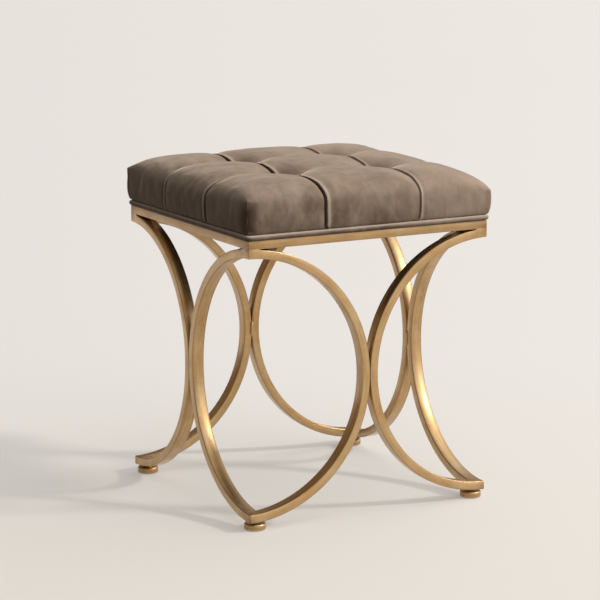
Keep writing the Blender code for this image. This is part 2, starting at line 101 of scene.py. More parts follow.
class Face(Round):
    """The four faces of the base, each with its first and second bar, seen from outside."""

    FRONT = ("front_bar_left", "front_bar_right")
    RIGHT = ("right_bar_front", "right_bar_back")
    BACK = ("back_bar_right", "back_bar_left")
    LEFT = ("left_bar_back", "left_bar_front")


class Effect(Enum):
    """The node groups that several materials use."""

    PATCHES = "soft_patches"
    GRAIN = "brushed_grain"
    PILE = "short_pile"
    AGED = "aged_tone"


# Shader work


class Bench:
    """Places nodes in one node tree and joins them."""

    def __init__(self, tree: bpy.types.NodeTree) -> None:
        """Takes the tree to work in."""
        self.tree = tree

    def feed(self, node: Node, inputs: Inputs) -> None:
        """Gives a node's inputs, by name or number, their numbers, colours or sockets.

        Args:
            node: The node.
            inputs: What each input takes, by its name or number.
        """
        for key, value in inputs.items():
            socket = node.inputs[key]
            if isinstance(value, NodeSocket):
                self.tree.links.new(value, socket)
            else:
                socket.default_value = (*value, 1.0) if socket.type == "RGBA" else value

    def node(self, kind: str, inputs: Inputs | None = None, **settings: object) -> Node:
        """Adds a shader node with its inputs and its own settings.

        Args:
            kind: Its type, without the leading ShaderNode.
            inputs: What each input takes, by its name or number.
            settings: The node's own settings.

        Returns:
            The node.
        """
        node = self.tree.nodes.new("ShaderNode" + kind)
        for key, value in settings.items():
            setattr(node, key, value)
        self.feed(node, inputs or {})
        return node

    def value(self, kind: str, inputs: Inputs | None = None, output: str | int = 0,
              **settings: object) -> NodeSocket:
        """Adds a shader node and returns one of its outputs."""
        return self.node(kind, inputs, **settings).outputs[output]

    def maths(self, operation: str, *values: Value, clamp: bool = False) -> NodeSocket:
        """Works out a Math operation."""
        return self.value("Math", dict(enumerate(values)), operation=operation, use_clamp=clamp)

    def times(self, first: Value, second: Value, clamp: bool = False) -> NodeSocket:
        """Multiplies two values."""
        return self.maths("MULTIPLY", first, second, clamp=clamp)

    def weigh(self, *shares: tuple[Value, float], clamp: bool = False) -> NodeSocket:
        """Adds up values that are never negative, each times its share.

        Args:
            shares: Each value with its share.
            clamp: Whether the sum is held between 0 and 1.

        Returns:
            The sum.
        """
        total, *others = (self.times(*share) for share in shares)
        for other in others:
            total = self.maths("ADD", total, other, clamp=clamp)
        return total

    def vector(self, operation: str, first: Value, second: Value) -> NodeSocket:
        """Works out a Vector Math operation, a dot product as a single value."""
        output = "Value" if operation == "DOT_PRODUCT" else 0
        return self.value("VectorMath", {0: first, 1: second}, output, operation=operation)

    def blend(self, share: Value, first: Value, second: Value, how: str = "MIX") -> NodeSocket:
        """Mixes two colours."""
        return self.value("Mix", {0: share, 6: first, 7: second}, 2, data_type="RGBA",
                          blend_type=how)

    def spread(self, value: Value, low: float, high: float, to_low: float = 0.0,
               to_high: float = 1.0, how: str = "LINEAR") -> NodeSocket:
        """Maps a value from one range to another, held inside it."""
        ends = {"From Min": low, "From Max": high, "To Min": to_low, "To Max": to_high}
        return self.value("MapRange", {"Value": value, **ends}, interpolation_type=how)

    def grey(self, value: Value) -> NodeSocket:
        """The grey of a given lightness."""
        return self.value("CombineColor", dict.fromkeys(range(3), value))

    def noise(self, **inputs: Value) -> NodeSocket:
        """Cloudy noise."""
        return self.value("TexNoise", inputs)

    def here(self) -> NodeSocket:
        """The Object coordinates."""
        return self.value("TexCoord", output="Object")

    def attribute(self, name: str, output: str = "Fac") -> NodeSocket:
        """Reads a mesh attribute."""
        return self.value("Attribute", output=output, attribute_name=name)

    def bump(self, height: Value, depth: float, strength: float = 1.0,
             normal: NodeSocket | None = None) -> NodeSocket:
        """Turns a height into a normal, a height of 1 being a given depth in metres."""
        inputs = {"Height": height, "Distance": depth, "Strength": strength}
        return self.value("Bump", inputs if normal is None else {**inputs, "Normal": normal})

    def effect(self, effect: Effect, **inputs: Value) -> Outputs:
        """Places a shared effect and returns its outputs."""
        return self.node("Group", inputs, node_tree=bpy.data.node_groups[effect.value]).outputs


class Effects:
    """Builds the shared effects."""

    @staticmethod
    def open(effect: Effect, outputs: Sequence[str],
             **inputs: Value) -> tuple[Bench, Outputs, Node]:
        """Starts an effect.

        Args:
            effect: Which one it is.
            outputs: Its outputs. Color is a colour, and the others are single values.
            inputs: Each input's default, which also says what kind it is.

        Returns:
            A bench on the effect, what its inputs give, and its output node.
        """
        tree = bpy.data.node_groups.new(effect.value, "ShaderNodeTree")
        for label, default in inputs.items():
            tree.interface.new_socket(label, in_out="INPUT", socket_type=SOCKET_KINDS[
                np.size(default)]).default_value = default
        for label in outputs:
            tree.interface.new_socket(label, in_out="OUTPUT", socket_type=SOCKET_KINDS[
                4 if label == "Color" else 1])
        given = tree.nodes.new("NodeGroupInput").outputs
        return Bench(tree), given, tree.nodes.new("NodeGroupOutput")

    def patches(self) -> None:
        """Soft blotches: a cloudy mask of a given size and sharpness."""
        bench, given, out = self.open(Effect.PATCHES, ["Mask"], Vector=(0, 0, 0),
                                      Stretch=(1, 1, 1), Scale=20.0, Sharpness=1.0)
        at = bench.vector("MULTIPLY", given["Vector"], given["Stretch"])
        cloud = bench.noise(Vector=at, Scale=given["Scale"], Detail=4.0, Roughness=0.55,
                            Distortion=0.4)
        sharp = bench.times(bench.maths("SUBTRACT", cloud, 0.5), given["Sharpness"])
        bench.feed(out, {"Mask": bench.maths("ADD", sharp, 0.5, clamp=True)})

    def grain(self) -> None:
        """Brushed lines: fine noise drawn out along the first axis of its vector."""
        bench, given, out = self.open(Effect.GRAIN, ["Mask"], Vector=(0, 0, 0), Along=60.0,
                                      Across=2600.0)
        size = bench.value("CombineXYZ", {0: given["Along"], 1: given["Across"],
                                          2: given["Across"]})
        lines = bench.noise(Vector=bench.vector("MULTIPLY", given["Vector"], size), Scale=1.0,
                            Detail=3.0, Roughness=0.6)
        bench.feed(out, {"Mask": bench.spread(lines, 0.3, 0.7)})

    def pile(self) -> None:
        """Short pile: tiny tufts of fibre that lean together in drifts."""
        bench, given, out = self.open(Effect.PILE, ["Height", "Mask"], Vector=(0, 0, 0),
                                      Fibre=1800.0, Drift=120.0)
        fibre = bench.noise(Vector=given["Vector"], Scale=given["Fibre"], Detail=2.0)
        drift = bench.noise(Vector=given["Vector"], Scale=given["Drift"], Detail=3.0,
                            Distortion=0.8)
        bench.feed(out, {"Height": bench.weigh((fibre, 0.35), (drift, 1.0)),
                         "Mask": bench.spread(fibre, 0.3, 0.7)})

    def aged(self) -> None:
        """Two tones mixed by a mask, with a dark tone laid over them by a second mask: dark wax,
        and painted shade.
        """
        bench, given, out = self.open(Effect.AGED, ["Color"], Deep=(0, 0, 0, 1),
                                      Bright=(1, 1, 1, 1), Dirt=(0, 0, 0, 1), Mask=0.5,
                                      Gathered=0.0)
        tone = bench.blend(given["Mask"], given["Deep"], given["Bright"])
        bench.feed(out, {"Color": bench.blend(given["Gathered"], tone, given["Dirt"])})

    def build(self) -> None:
        """Builds them all."""
        for make in (self.patches, self.grain, self.pile, self.aged):
            make()


def blank_material(name: str) -> tuple[Material, Bench, Node]:
    """Starts a material.

    Args:
        name: The material's name.

    Returns:
        The material, a bench on its nodes and its Principled shader.
    """
    material = bpy.data.materials.new(name)
    material.use_nodes = True
    return material, Bench(material.node_tree), material.node_tree.nodes["Principled BSDF"]


@dataclass(frozen=True)
class Patches:
    """The size of a finish's soft patches, how sharp they are and how far drawn out."""

    scale: float
    sharpness: float
    stretch: Triple = (1.0, 1.0, 1.0)

    def mask(self, bench: Bench, place: NodeSocket) -> NodeSocket:
        """Draws them in a material."""
        return bench.effect(Effect.PATCHES, Vector=place, Stretch=self.stretch, Scale=self.scale,
                            Sharpness=self.sharpness)["Mask"]


@dataclass(frozen=True)
class AntiqueGold:
    """Hand-rubbed champagne gold on brushed metal, with dark wax under a clear lacquer.
    The same dark tone is also painted shade: in the slot under each rail, all over the rails,
    up the feet's necks and along the arrises.
    """

    deep: Colour = (0.350, 0.198, 0.062)
    bright: Colour = (0.720, 0.532, 0.298)
    copper: Colour = (0.98, 0.85, 0.70)
    copper_share: float = 0.7
    # The dark tone and its share: dark wax in the joints, and painted shade where the marks put
    # it.
    dark_wax_and_shade: Colour = (0.130, 0.048, 0.016)
    wax_and_shade_share: float = 0.55
    wax_and_shade_dullness: float = 0.30
    # Painted shade along the arrises: where it starts and ends across the section, how dark it is,
    # and how the clouds break it up.
    arris: Pair = (0.72, 0.96)
    arris_shade: float = 0.50
    arris_shade_breakup: tuple[float, ...] = (0.2, 0.7, 0.4, 1.0)
    dull: float = 0.46
    polished: float = 0.31
    lacquer: float = 0.50
    lacquer_roughness: float = 0.12
    wide_crown: float = 0.0017
    narrow_crown: float = 0.0007
    drawn_from: Triple = (0.13, 0.0, 0.0)
    clouds: Patches = Patches(26.0, 2.2)
    specks: Patches = Patches(260.0, 2.4)
    coppery: Patches = Patches(15.0, 3.2)
    streak_along: float = 14.0
    streak_across: float = 420.0
    tone_shares: tuple[float, ...] = (0.36, 0.12, 0.18, 0.34)
    relief_shares: Pair = (0.35, 0.8)
    relief: float = 0.00004
    slot: str = "champagne_gold"

    def material(self) -> Material:
        """Builds the finish.

        Returns:
            The material.
        """
        material, bench, shader = blank_material("antique_gold")
        place = bench.vector("ADD", bench.here(), self.drawn_from)
        clouds, specks, coppery = (patches.mask(bench, place)
                                   for patches in (self.clouds, self.specks, self.coppery))
        grain = bench.attribute("grain", "Vector")
        lines = bench.effect(Effect.GRAIN, Vector=grain)["Mask"]
        streaks = bench.effect(Effect.GRAIN, Vector=grain, Along=self.streak_along,
                               Across=self.streak_across)["Mask"]
        pale_tone = bench.weigh(*zip((clouds, specks, lines, streaks), self.tone_shares), clamp=True)
        # Painted shade along the arrises, broken up by the clouds.
        across = bench.node("SeparateXYZ", {0: bench.attribute("section", "Vector")}).outputs
        sides = [bench.maths("ABSOLUTE", across[axis]) for axis in (0, 1)]
        arris = bench.spread(bench.maths("MINIMUM", *sides), *self.arris, 0.0, self.arris_shade)
        arris = bench.times(arris, bench.spread(clouds, *self.arris_shade_breakup))
        # Dark wax in the joints, and painted shade in the slots, on the rails and up the feet's
        # necks.
        dark_wax_and_shade = bench.times(bench.attribute("aged"), self.wax_and_shade_share, clamp=True)
        tone = bench.effect(Effect.AGED, Deep=self.deep, Bright=self.bright, Dirt=self.dark_wax_and_shade,
                            Mask=pale_tone, Gathered=bench.maths("MAXIMUM", dark_wax_and_shade, arris))["Color"]
        rough = bench.spread(pale_tone, 0.0, 1.0, self.dull, self.polished)
        wide, narrow = (bench.times(side, side) for side in sides)
        curve = bench.weigh((wide, self.wide_crown / self.narrow_crown), (narrow, 1.0))
        crowned = bench.bump(bench.maths("SUBTRACT", 1.0, curve), self.narrow_crown)
        height = bench.weigh(*zip((lines, clouds), self.relief_shares))
        bench.feed(shader, {
            "Base Color": bench.blend(bench.times(coppery, self.copper_share), tone, self.copper,
                                      "MULTIPLY"),
            "Roughness": bench.maths("ADD", rough, bench.times(dark_wax_and_shade, self.wax_and_shade_dullness),
                                     clamp=True),
            "Metallic": 1.0, "Coat Weight": self.lacquer,
            "Coat Roughness": self.lacquer_roughness,
            "Normal": bench.bump(height, self.relief, 1.0, crowned)})
        return material


@dataclass(frozen=True)
class TaupeVelvet:
    """Short-pile velvet whose nap lies in drifts, with light and shade painted into its colour:
    paler towards the right side, on the top and on the crests of folds, darker on the left side
    and in folds.
    """

    deep: Colour = (0.098, 0.065, 0.043)
    bright: Colour = (0.360, 0.267, 0.201)
    # A pale tone painted on fold crests as a highlight, and how much of it.
    pale_tone: Colour = (0.62, 0.505, 0.42)
    crest_highlight_share: float = 0.6
    # The dark tone of the painted shade in folds, creases and hollows, and how much of it.
    fold_shade_tone: Colour = (0.035, 0.016, 0.006)
    fold_shade_share: float = 0.85
    sheen_tint: Colour = (1.0, 0.83, 0.68)
    sheen: float = 0.65
    sheen_roughness: float = 0.36
    shine: float = 0.15
    roughness: Pair = (0.95, 0.82)
    # Painted shade on the left side: where it begins and how much it darkens.
    left_edge: Pair = (-0.201, -0.186)
    left_side_shade: float = 0.62
    # Painted light: paler towards the right side, on the top and on fold crests, where the nap is
    # lifted to a raised level and its patches evened.
    lit_side: Pair = (0.02, 0.2)
    side_lift: float = 1.25
    lit_top: Pair = (0.460, 0.498)
    top_lift: float = 0.50
    crest_highlight_lift: float = 0.80
    evening: float = 0.36
    raised: float = 0.58
    drifts: Patches = Patches(24.0, 2.5, (1.0, 1.0, 0.75))
    streaks: Patches = Patches(62.0, 2.6, (1.0, 1.0, 0.6))
    nap_shares: Triple = (0.45, 0.33, 0.10)
    lean_shares: Pair = (1.0, 0.6)
    lean_relief: Pair = (0.0010, 0.55)
    pile_relief: Pair = (0.00025, 0.6)
    slot: str = "velvet"

    def material(self) -> Material:
        """Builds the finish.

        Returns:
            The material.
        """
        material, bench, shader = blank_material("taupe_velvet")
        place = bench.here()
        drifts, streaks = (patches.mask(bench, place) for patches in (self.drifts, self.streaks))
        pile = bench.effect(Effect.PILE, Vector=place)
        nap = bench.weigh(*zip((drifts, streaks, pile["Mask"]), self.nap_shares))
        parts = bench.node("SeparateXYZ", {0: place}).outputs
        # Painted shade: the nap darkens on the left side, which faces away from the lamp.
        kept = bench.spread(parts["X"], *self.left_edge, 1.0 - self.left_side_shade, 1.0)
        nap = bench.times(nap, kept, clamp=True)
        # Painted light: the nap is lifted towards the right side, on the top and on the crests of
        # folds.
        ridge = bench.attribute("crest")
        lit = bench.weigh((bench.spread(parts["X"], *self.lit_side), self.side_lift),
                          (bench.spread(parts["Z"], *self.lit_top), self.top_lift),
                          (ridge, self.crest_highlight_lift), clamp=True)
        rest = bench.maths("SUBTRACT", self.raised, bench.times(nap, self.evening))
        nap = bench.maths("ADD", nap, bench.times(rest, lit), clamp=True)
        # Painted shade in the folds, creases, hollows and tuft pits.
        fold = bench.times(bench.attribute("fold"), self.fold_shade_share, clamp=True)
        tone = bench.effect(Effect.AGED, Deep=self.deep, Bright=self.bright, Dirt=self.fold_shade_tone,
                            Mask=nap, Gathered=fold)["Color"]
        # Painted highlight: the pale tone laid on the crests of folds.
        crest_highlight_mix = bench.times(bench.times(ridge, ridge), self.crest_highlight_share)
        lean = bench.bump(bench.weigh(*zip((drifts, streaks), self.lean_shares)),
                          *self.lean_relief)
        bench.feed(shader, {
            "Base Color": bench.blend(crest_highlight_mix, tone, self.pale_tone),
            "Roughness": bench.spread(nap, 0.0, 1.0, *self.roughness),
            "Specular IOR Level": self.shine, "Sheen Weight": self.sheen,
            "Sheen Roughness": self.sheen_roughness, "Sheen Tint": self.sheen_tint,
            "Normal": bench.bump(pile["Height"], *self.pile_relief, lean)})
        return material


@dataclass(frozen=True)
class PlainFinish:
    """A finish of two close tones in patches, with a fine surface grain."""

    name: str
    slot: str
    deep: Colour
    bright: Colour
    roughness: float
    patches: Patches
    metallic: float = 0.0
    fibre_scale: float = 900.0
    relief: float = 0.0001
    dulling: float = 0.08
    tone_shares: Pair = (0.65, 0.35)

    def material(self) -> Material:
        """Builds the finish.

        Returns:
            The material.
        """
        material, bench, shader = blank_material(self.name)
        place = bench.here()
        pile = bench.effect(Effect.PILE, Vector=place, Fibre=self.fibre_scale,
                            Drift=self.fibre_scale / 8)
        mask = bench.weigh(*zip((self.patches.mask(bench, place), pile["Mask"]),
                                self.tone_shares))
        bench.feed(shader, {
            "Base Color": bench.effect(Effect.AGED, Deep=self.deep, Bright=self.bright,
                                       Mask=mask)["Color"],
            "Roughness": bench.spread(mask, 0.0, 1.0, min(1.0, self.roughness + self.dulling),
                                      self.roughness),
            "Metallic": self.metallic, "Normal": bench.bump(pile["Height"], self.relief)})
        return material


Finish = AntiqueGold | TaupeVelvet | PlainFinish


class Finishes:
    """Every finish of the stool, each made into one material."""

    def __init__(self) -> None:
        """Lists the finishes."""
        self.gold = AntiqueGold()
        self.velvet = TaupeVelvet()
        self.zinc = PlainFinish("zinc_steel", "zinc_steel", (0.24, 0.24, 0.23),
                                (0.40, 0.40, 0.385), 0.46, Patches(90.0, 2.2), 1.0)
        self.rubber = PlainFinish("foot_rubber", "rubber", (0.016, 0.016, 0.016),
                                  (0.035, 0.034, 0.032), 0.72, Patches(120.0, 2.2))
        self.plywood = PlainFinish("seat_plywood", "plywood", (0.40, 0.25, 0.13),
                                   (0.62, 0.44, 0.25), 0.62,
                                   Patches(22.0, 2.2, (1.0, 9.0, 14.0)), fibre_scale=700.0)
        self.nylon = PlainFinish("washer_nylon", "nylon", (0.62, 0.60, 0.54),
                                 (0.74, 0.72, 0.66), 0.42, Patches(150.0, 2.2))
        self.twine = PlainFinish("tuft_thread", "twine", (0.50, 0.44, 0.34),
                                 (0.68, 0.62, 0.50), 0.78,
                                 Patches(800.0, 2.2, (1.0, 1.0, 0.3)), fibre_scale=2600.0)
        self.dust_cloth = PlainFinish("dust_cloth", "dust_cloth", (0.010, 0.010, 0.011),
                                      (0.030, 0.029, 0.030), 0.90, Patches(70.0, 2.2),
                                      fibre_scale=1500.0, relief=0.0003)
        self.foam = PlainFinish("seat_foam", "foam", (0.68, 0.58, 0.36), (0.80, 0.72, 0.50),
                                0.92, Patches(60.0, 2.2))
        self._made: dict[str, Material] = {}

    def of(self, finish: Finish) -> Material:
        """The finish's material, made the first time that it is asked for.

        Args:
            finish: One of the finishes above.

        Returns:
            Its material.
        """
        if finish.slot not in self._made:
            self._made[finish.slot] = finish.material()
        return self._made[finish.slot]


# Shapes that several pieces share


def of_kind(items: Sequence[object], kind: type) -> list:
    """The items that are of one kind."""
    return [item for item in items if isinstance(item, kind)]


def shift(bm: BMesh, move: Matrix | Sequence[float]) -> None:
    """Moves a whole mesh by a matrix or by a distance."""
    matrix = move if isinstance(move, Matrix) else Matrix.Translation(move)
    bmesh.ops.transform(bm, verts=bm.verts, matrix=matrix)


def outward(bm: BMesh) -> None:
    """Turns every face outward."""
    bmesh.ops.recalc_face_normals(bm, faces=bm.faces)


def draw_out(bm: BMesh, edges: Sequence[BMEdge],
             move: Sequence[float]) -> tuple[list[BMVert], list[BMEdge]]:
    """Draws open edges out into a band of faces.

    Args:
        bm: The mesh.
        edges: The open edges.
        move: How far the band goes.

    Returns:
        The points and the edges at the band's far side.
    """
    drawn = bmesh.ops.extrude_edge_only(bm, edges=edges)["geom"]
    verts = of_kind(drawn, BMVert)
    bmesh.ops.translate(bm, verts=verts, vec=move)
    return verts, of_kind(drawn, BMEdge)


def bend(bm: BMesh, edges: Sequence[BMEdge], centre: Sequence[float], axis: Sequence[float],
         angle: float, steps: int) -> list[BMEdge]:
    """Draws open edges out round an axis.

    Args:
        bm: Their mesh.
        edges: The open edges.
        centre: A point on the axis.
        axis: Its direction.
        angle: How far they go round, in radians.
        steps: In how many steps.

    Returns:
        The edges at the far end.
    """
    verts = list(dict.fromkeys(vert for edge in edges for vert in edge.verts))
    swept = bmesh.ops.spin(bm, geom=verts + edges, cent=centre, axis=axis, angle=angle,
                           steps=steps)
    return of_kind(swept["geom_last"], BMEdge)


def close_ends(bm: BMesh) -> None:
    """Caps every open end of a swept mesh."""
    bmesh.ops.holes_fill(bm, edges=[edge for edge in bm.edges if edge.is_boundary], sides=0)


def mitre(bm: BMesh, place: Sequence[float], normal: Sequence[float]) -> None:
    """Cuts a mesh at a plane, caps the cut and keeps the side behind the normal.

    Args:
        bm: The mesh.
        place: A point on the plane.
        normal: Points to the side that is cut off.
    """
    bmesh.ops.bisect_plane(bm, geom=bm.verts[:] + bm.edges[:] + bm.faces[:], dist=CUT,
                           plane_co=place, plane_no=normal, clear_outer=True)
    close_ends(bm)


def turned(profile: Sequence[Pair], steps: int) -> BMesh:
    """Turns a profile of radius and height pairs, given from the top down, about Z.

    Args:
        profile: The profile.
        steps: How many steps go round.

    Returns:
        The closed mesh.
    """
    bm = bmesh.new()
    verts = [bm.verts.new((radius, 0, height)) for radius, height in profile]
    edges = [bm.edges.new(pair) for pair in zip(verts, verts[1:])]
    bmesh.ops.spin(bm, geom=verts + edges, cent=(0, 0, 0), axis=(0, 0, 1), angle=math.tau,
                   steps=steps, use_merge=True)
    bmesh.ops.remove_doubles(bm, verts=bm.verts, dist=WELD)
    outward(bm)
    return bm


def fillet(centre: Pair, radius: float, start: float, end: float, steps: int) -> list[Pair]:
    """Points of a round in a profile, with its angles in degrees."""
    angles = [math.radians(start + (end - start) * step / steps) for step in range(steps + 1)]
    return [(centre[0] + radius * math.cos(a), centre[1] + radius * math.sin(a)) for a in angles]


def mark(bm: BMesh, name: str, values: Sequence[float | Vector]) -> None:
    """Stores a number or a vector at each point of a mesh.

    Args:
        bm: The mesh.
        name: The attribute's name.
        values: A value for each point, in their order.
    """
    layers = bm.verts.layers
    kind = layers.float_vector if isinstance(values[0], Vector) else layers.float
    layer = kind.new(name)
    for vert, value in zip(bm.verts, values):
        vert[layer] = value


def ease(share: float | np.ndarray) -> float | np.ndarray:
    """Holds a share between 0 and 1 and rounds its way into both."""
    share = np.clip(share, 0, 1)
    return share * share * (3 - 2 * share)


def stored(name: str, bm: BMesh) -> bpy.types.Mesh:
    """Turns a worked mesh into a stored one and frees it.

    Args:
        name: The stored mesh's name.
        bm: The mesh.

    Returns:
        The stored mesh.
    """
    mesh = bpy.data.meshes.new(name)
    bm.to_mesh(mesh)
    bm.free()
    return mesh


def put(name: str, data: bpy.types.ID) -> Object:
    """Adds an object to the scene.

    Args:
        name: The object's name.
        data: Its mesh, lamp or camera.

    Returns:
        The object.
    """
    thing = bpy.data.objects.new(name, data)
    bpy.context.scene.collection.objects.link(thing)
    return thing


def join(parts: Sequence[BMesh]) -> BMesh:
    """Puts several meshes into the first one and frees the rest.

    Args:
        parts: The meshes.

    Returns:
        The first one, with the others in it.
    """
    for part in parts[1:]:
        spare = stored("spare", part)
        parts[0].from_mesh(spare)
        bpy.data.meshes.remove(spare)
    return parts[0]


@dataclass(frozen=True)
class Bead:
    """A bead of weld with the ripples that the arc leaves."""

    length: float
    wide: float
    rise: float
    ripples: int
    ripple_depth: float = 0.10
    taper: float = 3.2
    sides: int = 14
    ripple_rings: int = 6
    pole: float = 0.001

    def mesh(self) -> BMesh:
        """The closed bead along Z, centred on the origin.

        Returns:
            The mesh.
        """
        bm = bmesh.new()
        bmesh.ops.create_uvsphere(bm, u_segments=self.sides, radius=1.0,
                                  v_segments=self.ripple_rings * self.ripples)
        for vert in bm.verts:
            x, y, z = vert.co
            across = math.hypot(x, y)
            grow = min(1.0, self.taper * (1 - abs(z))) ** 0.5 / across if across > self.pole else 0
            grow *= 1 + self.ripple_depth * math.sin(math.pi * self.ripples * (z + 1))
            vert.co = (x * grow * self.wide / 2, y * grow * self.rise, z * self.length / 2)
        outward(bm)
        mark(bm, "grain", [vert.co.zxy for vert in bm.verts])
        return bm


@dataclass
class Assembly:
    """A part of the stool that takes its finishes from the shared ones."""

    finishes: Finishes

    def hang(self, name: str, bm: BMesh, finish: Finish, stands_for: Sequence[str] = (),
             body: str = STOOL, smooth: float = 40.0, weighted: bool = False) -> Object:
        """Makes a finished piece and lets it ride on its body.

        Args:
            name: The piece's name.
            bm: Its mesh, which is freed.
            finish: Its finish.
            stands_for: The solids that it replaces.
            body: The body that carries it.
            smooth: The angle in degrees above which an edge stays sharp.
            weighted: Whether its broad faces are kept flat in the shading.

        Returns:
            The piece.
        """
        mesh = stored(name, bm)
        mesh.materials.append(self.finishes.of(finish))
        mesh.shade_smooth()
        mesh.set_sharp_from_angle(angle=math.radians(smooth))
        piece = put(name, mesh)
        if weighted:
            flat = piece.modifiers.new("flat_faces", "WEIGHTED_NORMAL")
            flat.keep_sharp = True
            flat.weight = 90
        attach(piece, body)
        if stands_for:
            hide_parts(*stands_for)
        LOG.info("%s: %d faces on %s", name, len(mesh.polygons), body)
        return piece


# The metal base


@dataclass
class MetalBase(Assembly):
    """The seat frame of four mitred rails over eight half-round bars, welded together.

    A weld's pair is how far it fills its slot and how long its toe is. The rails' pair is how far
    their dark wax reaches in from a corner, and how much painted shade from the cushion above lies
    all over them.
    """

    half: float = 0.198
    deep: float = 0.019
    thick: float = 0.0127
    edge_radius: float = 0.0010
    edge_segments: int = 3
    bar_underside: float = 0.0128
    bar_radius: float = 0.19785
    waist_land: float = 0.0022
    rail_underside: float = 0.4110
    mitre_setback: float = 0.0003
    end_steps: int = 17
    end_angle: float = 14.0
    bend_steps: int = 36
    rail_cuts: int = 24
    weld: Pair = (0.0175, 0.0040)
    root_weld: Pair = (0.0360, 0.0080)
    weld_skin: float = 1.02
    weld_gap: float = 0.00002
    joint_wax: float = 0.008
    rail_wax: Pair = (0.016, 0.36)
    # Painted shade in the slot between a bar's upper end and the rail: where it ends and how dark
    # it is.
    slot_shade_end: float = 0.046
    slot_shade: float = 1.6
    flat_top: float = 0.99
    grain_shift: float = 1.3
    waist_bead: Bead = Bead(0.024, 0.0048, 0.0016, 12)
    waist_bead_out: float = 0.0003
    plate_bead: Bead = Bead(0.018, 0.0030, 0.0014, 9)
    plate_bead_at: float = 0.033

    @property
    def lower_centre(self) -> float:
        """Height of the centre of a bar's lower quarter."""
        return self.bar_underside + self.bar_radius

    @property
    def upper_centre(self) -> float:
        """Height of the centre of a bar's upper quarter."""
        return self.lower_centre + self.waist_land

    @property
    def waist(self) -> float:
        """Height at which two bars of a face touch."""
        return (self.lower_centre + self.upper_centre) / 2

    def section(self, bm: BMesh) -> list[BMEdge]:
        """Adds the outline of a bar's section in the plane x = 0 and returns its edges.

        Args:
            bm: The mesh.

        Returns:
            The outline's edges.
        """
        bmesh.ops.create_grid(bm, x_segments=1, y_segments=1, size=0.5)
        upright = Matrix(((0, 0, 1, 0), (1, 0, 0, 0), (0, 1, 0, 0), (0, 0, 0, 1)))
        shift(bm, upright @ Matrix.Diagonal((self.deep, self.thick, 1, 1))
              @ Matrix.Translation((0.5, 0.5, 0)))
        bmesh.ops.bevel(bm, geom=bm.verts[:], offset=self.edge_radius, offset_type="OFFSET",
                        segments=self.edge_segments, profile=0.5, affect="VERTICES", material=-1)
        bmesh.ops.delete(bm, geom=bm.faces[:], context="FACES_ONLY")
        return bm.edges[:]

    def bar_sweep(self) -> BMesh:
        """Bends a bar: its ends at the corner x = 0, its outer face at y = 0.

        Returns:
            The bar's mesh.
        """
        bm = bmesh.new()
        edges = self.section(bm)
        shift(bm, (0, 0, self.upper_centre + self.bar_radius - self.thick))
        end, middle = (self.end_angle, self.end_steps), (90 - self.end_angle, self.bend_steps)
        for centre, runs in ((self.upper_centre, (end, middle)),
                             (self.lower_centre, (middle, end))):
            if centre == self.lower_centre:
                _, edges = draw_out(bm, edges, (0, 0, -self.waist_land))
            for angle, steps in runs:
                edges = bend(bm, edges, (0, 0, centre), (0, 1, 0), math.radians(angle), steps)
        close_ends(bm)
        mitre(bm, (self.mitre_setback, 0, 0), (-1, 1, 0))
        outward(bm)
        return bm

    def bar_grain(self, at: Vector) -> Vector:
        """Where a point of a bar lies along its bend and across its section.

        Args:
            at: The point.

        Returns:
            How far it lies along the bar, in from its face and out from the bend's centre.
        """
        centre = self.upper_centre if at.z > self.waist else self.lower_centre
        angle = math.atan2(at.z - centre, at.x)
        return Vector((angle * self.bar_radius, at.y, math.hypot(at.x, at.z - centre)))

    def mark_metal(self, bm: BMesh, grain: Sequence[Vector], drawn: float,
                   inner: float) -> None:
        """Marks how the brushed lines run and where each point lies in its section.

        Args:
            bm: The mesh to mark.
            grain: Where each point lies along the bar, outward and upward.
            drawn: How far along the metal the piece's own lines are taken from.
            inner: Where the section begins, upward.
        """
        mark(bm, "grain", [place + Vector((drawn, 0, 0)) for place in grain])
        mark(bm, "section", [Vector((2 * place.y / self.deep - 1,
                                     2 * (place.z - inner) / self.thick - 1, 0))
                             for place in grain])

    def fill_joint(self, bm: BMesh) -> None:
        """Raises the top of a bar's end to the rail, as weld filled and ground flush there.

        On the inner side, behind the slot, the weld runs on further.

        Args:
            bm: The bar's mesh.
        """
        for vert in bm.verts:
            below = self.bar_radius - math.hypot(vert.co.x, vert.co.z - self.upper_centre)
            if vert.co.z < self.waist or below > self.weld_skin * self.edge_radius:
                continue
            fill, toe = self.root_weld if vert.co.y > self.deep / 2 else self.weld
            flush = self.rail_underside - self.weld_gap + below
            vert.co.z += (flush - vert.co.z) * ease((fill + toe - vert.co.x) / toe)

    def age(self, bm: BMesh, marks: Sequence[Vector], reach: float,
            all_over: float = 0.0) -> None:
        """Marks how much dark wax has stayed near the given places, with an even darkening
        everywhere else.

        Args:
            bm: The mesh to mark.
            marks: The places where the wax has gathered.
            reach: How far it reaches round each.
            all_over: How much darkening lies everywhere else; on the rails it is painted shade.
        """
        away = [min((vert.co - at).length for at in marks) for vert in bm.verts]
        mark(bm, "aged", [all_over + (1 - all_over) * math.exp(-(near / reach) ** 2)
                          for near in away])

    def paint_slot_shade(self, bm: BMesh) -> None:
        """Darkens the narrow slot between a bar's upper end and the rail with painted shade.

        Args:
            bm: The bar's mesh, marked already.
        """
        layer = bm.verts.layers.float["aged"]
        section = bm.verts.layers.float_vector["section"]
        fill, toe = self.weld
        for vert in bm.verts:
            share = min(self.slot_shade_end - vert.co.x, vert.co.x - fill) / toe
            if vert.co.z > self.waist and vert[section].y > self.flat_top and share > 0:
                vert[layer] = max(vert[layer], self.slot_shade * min(1.0, share))

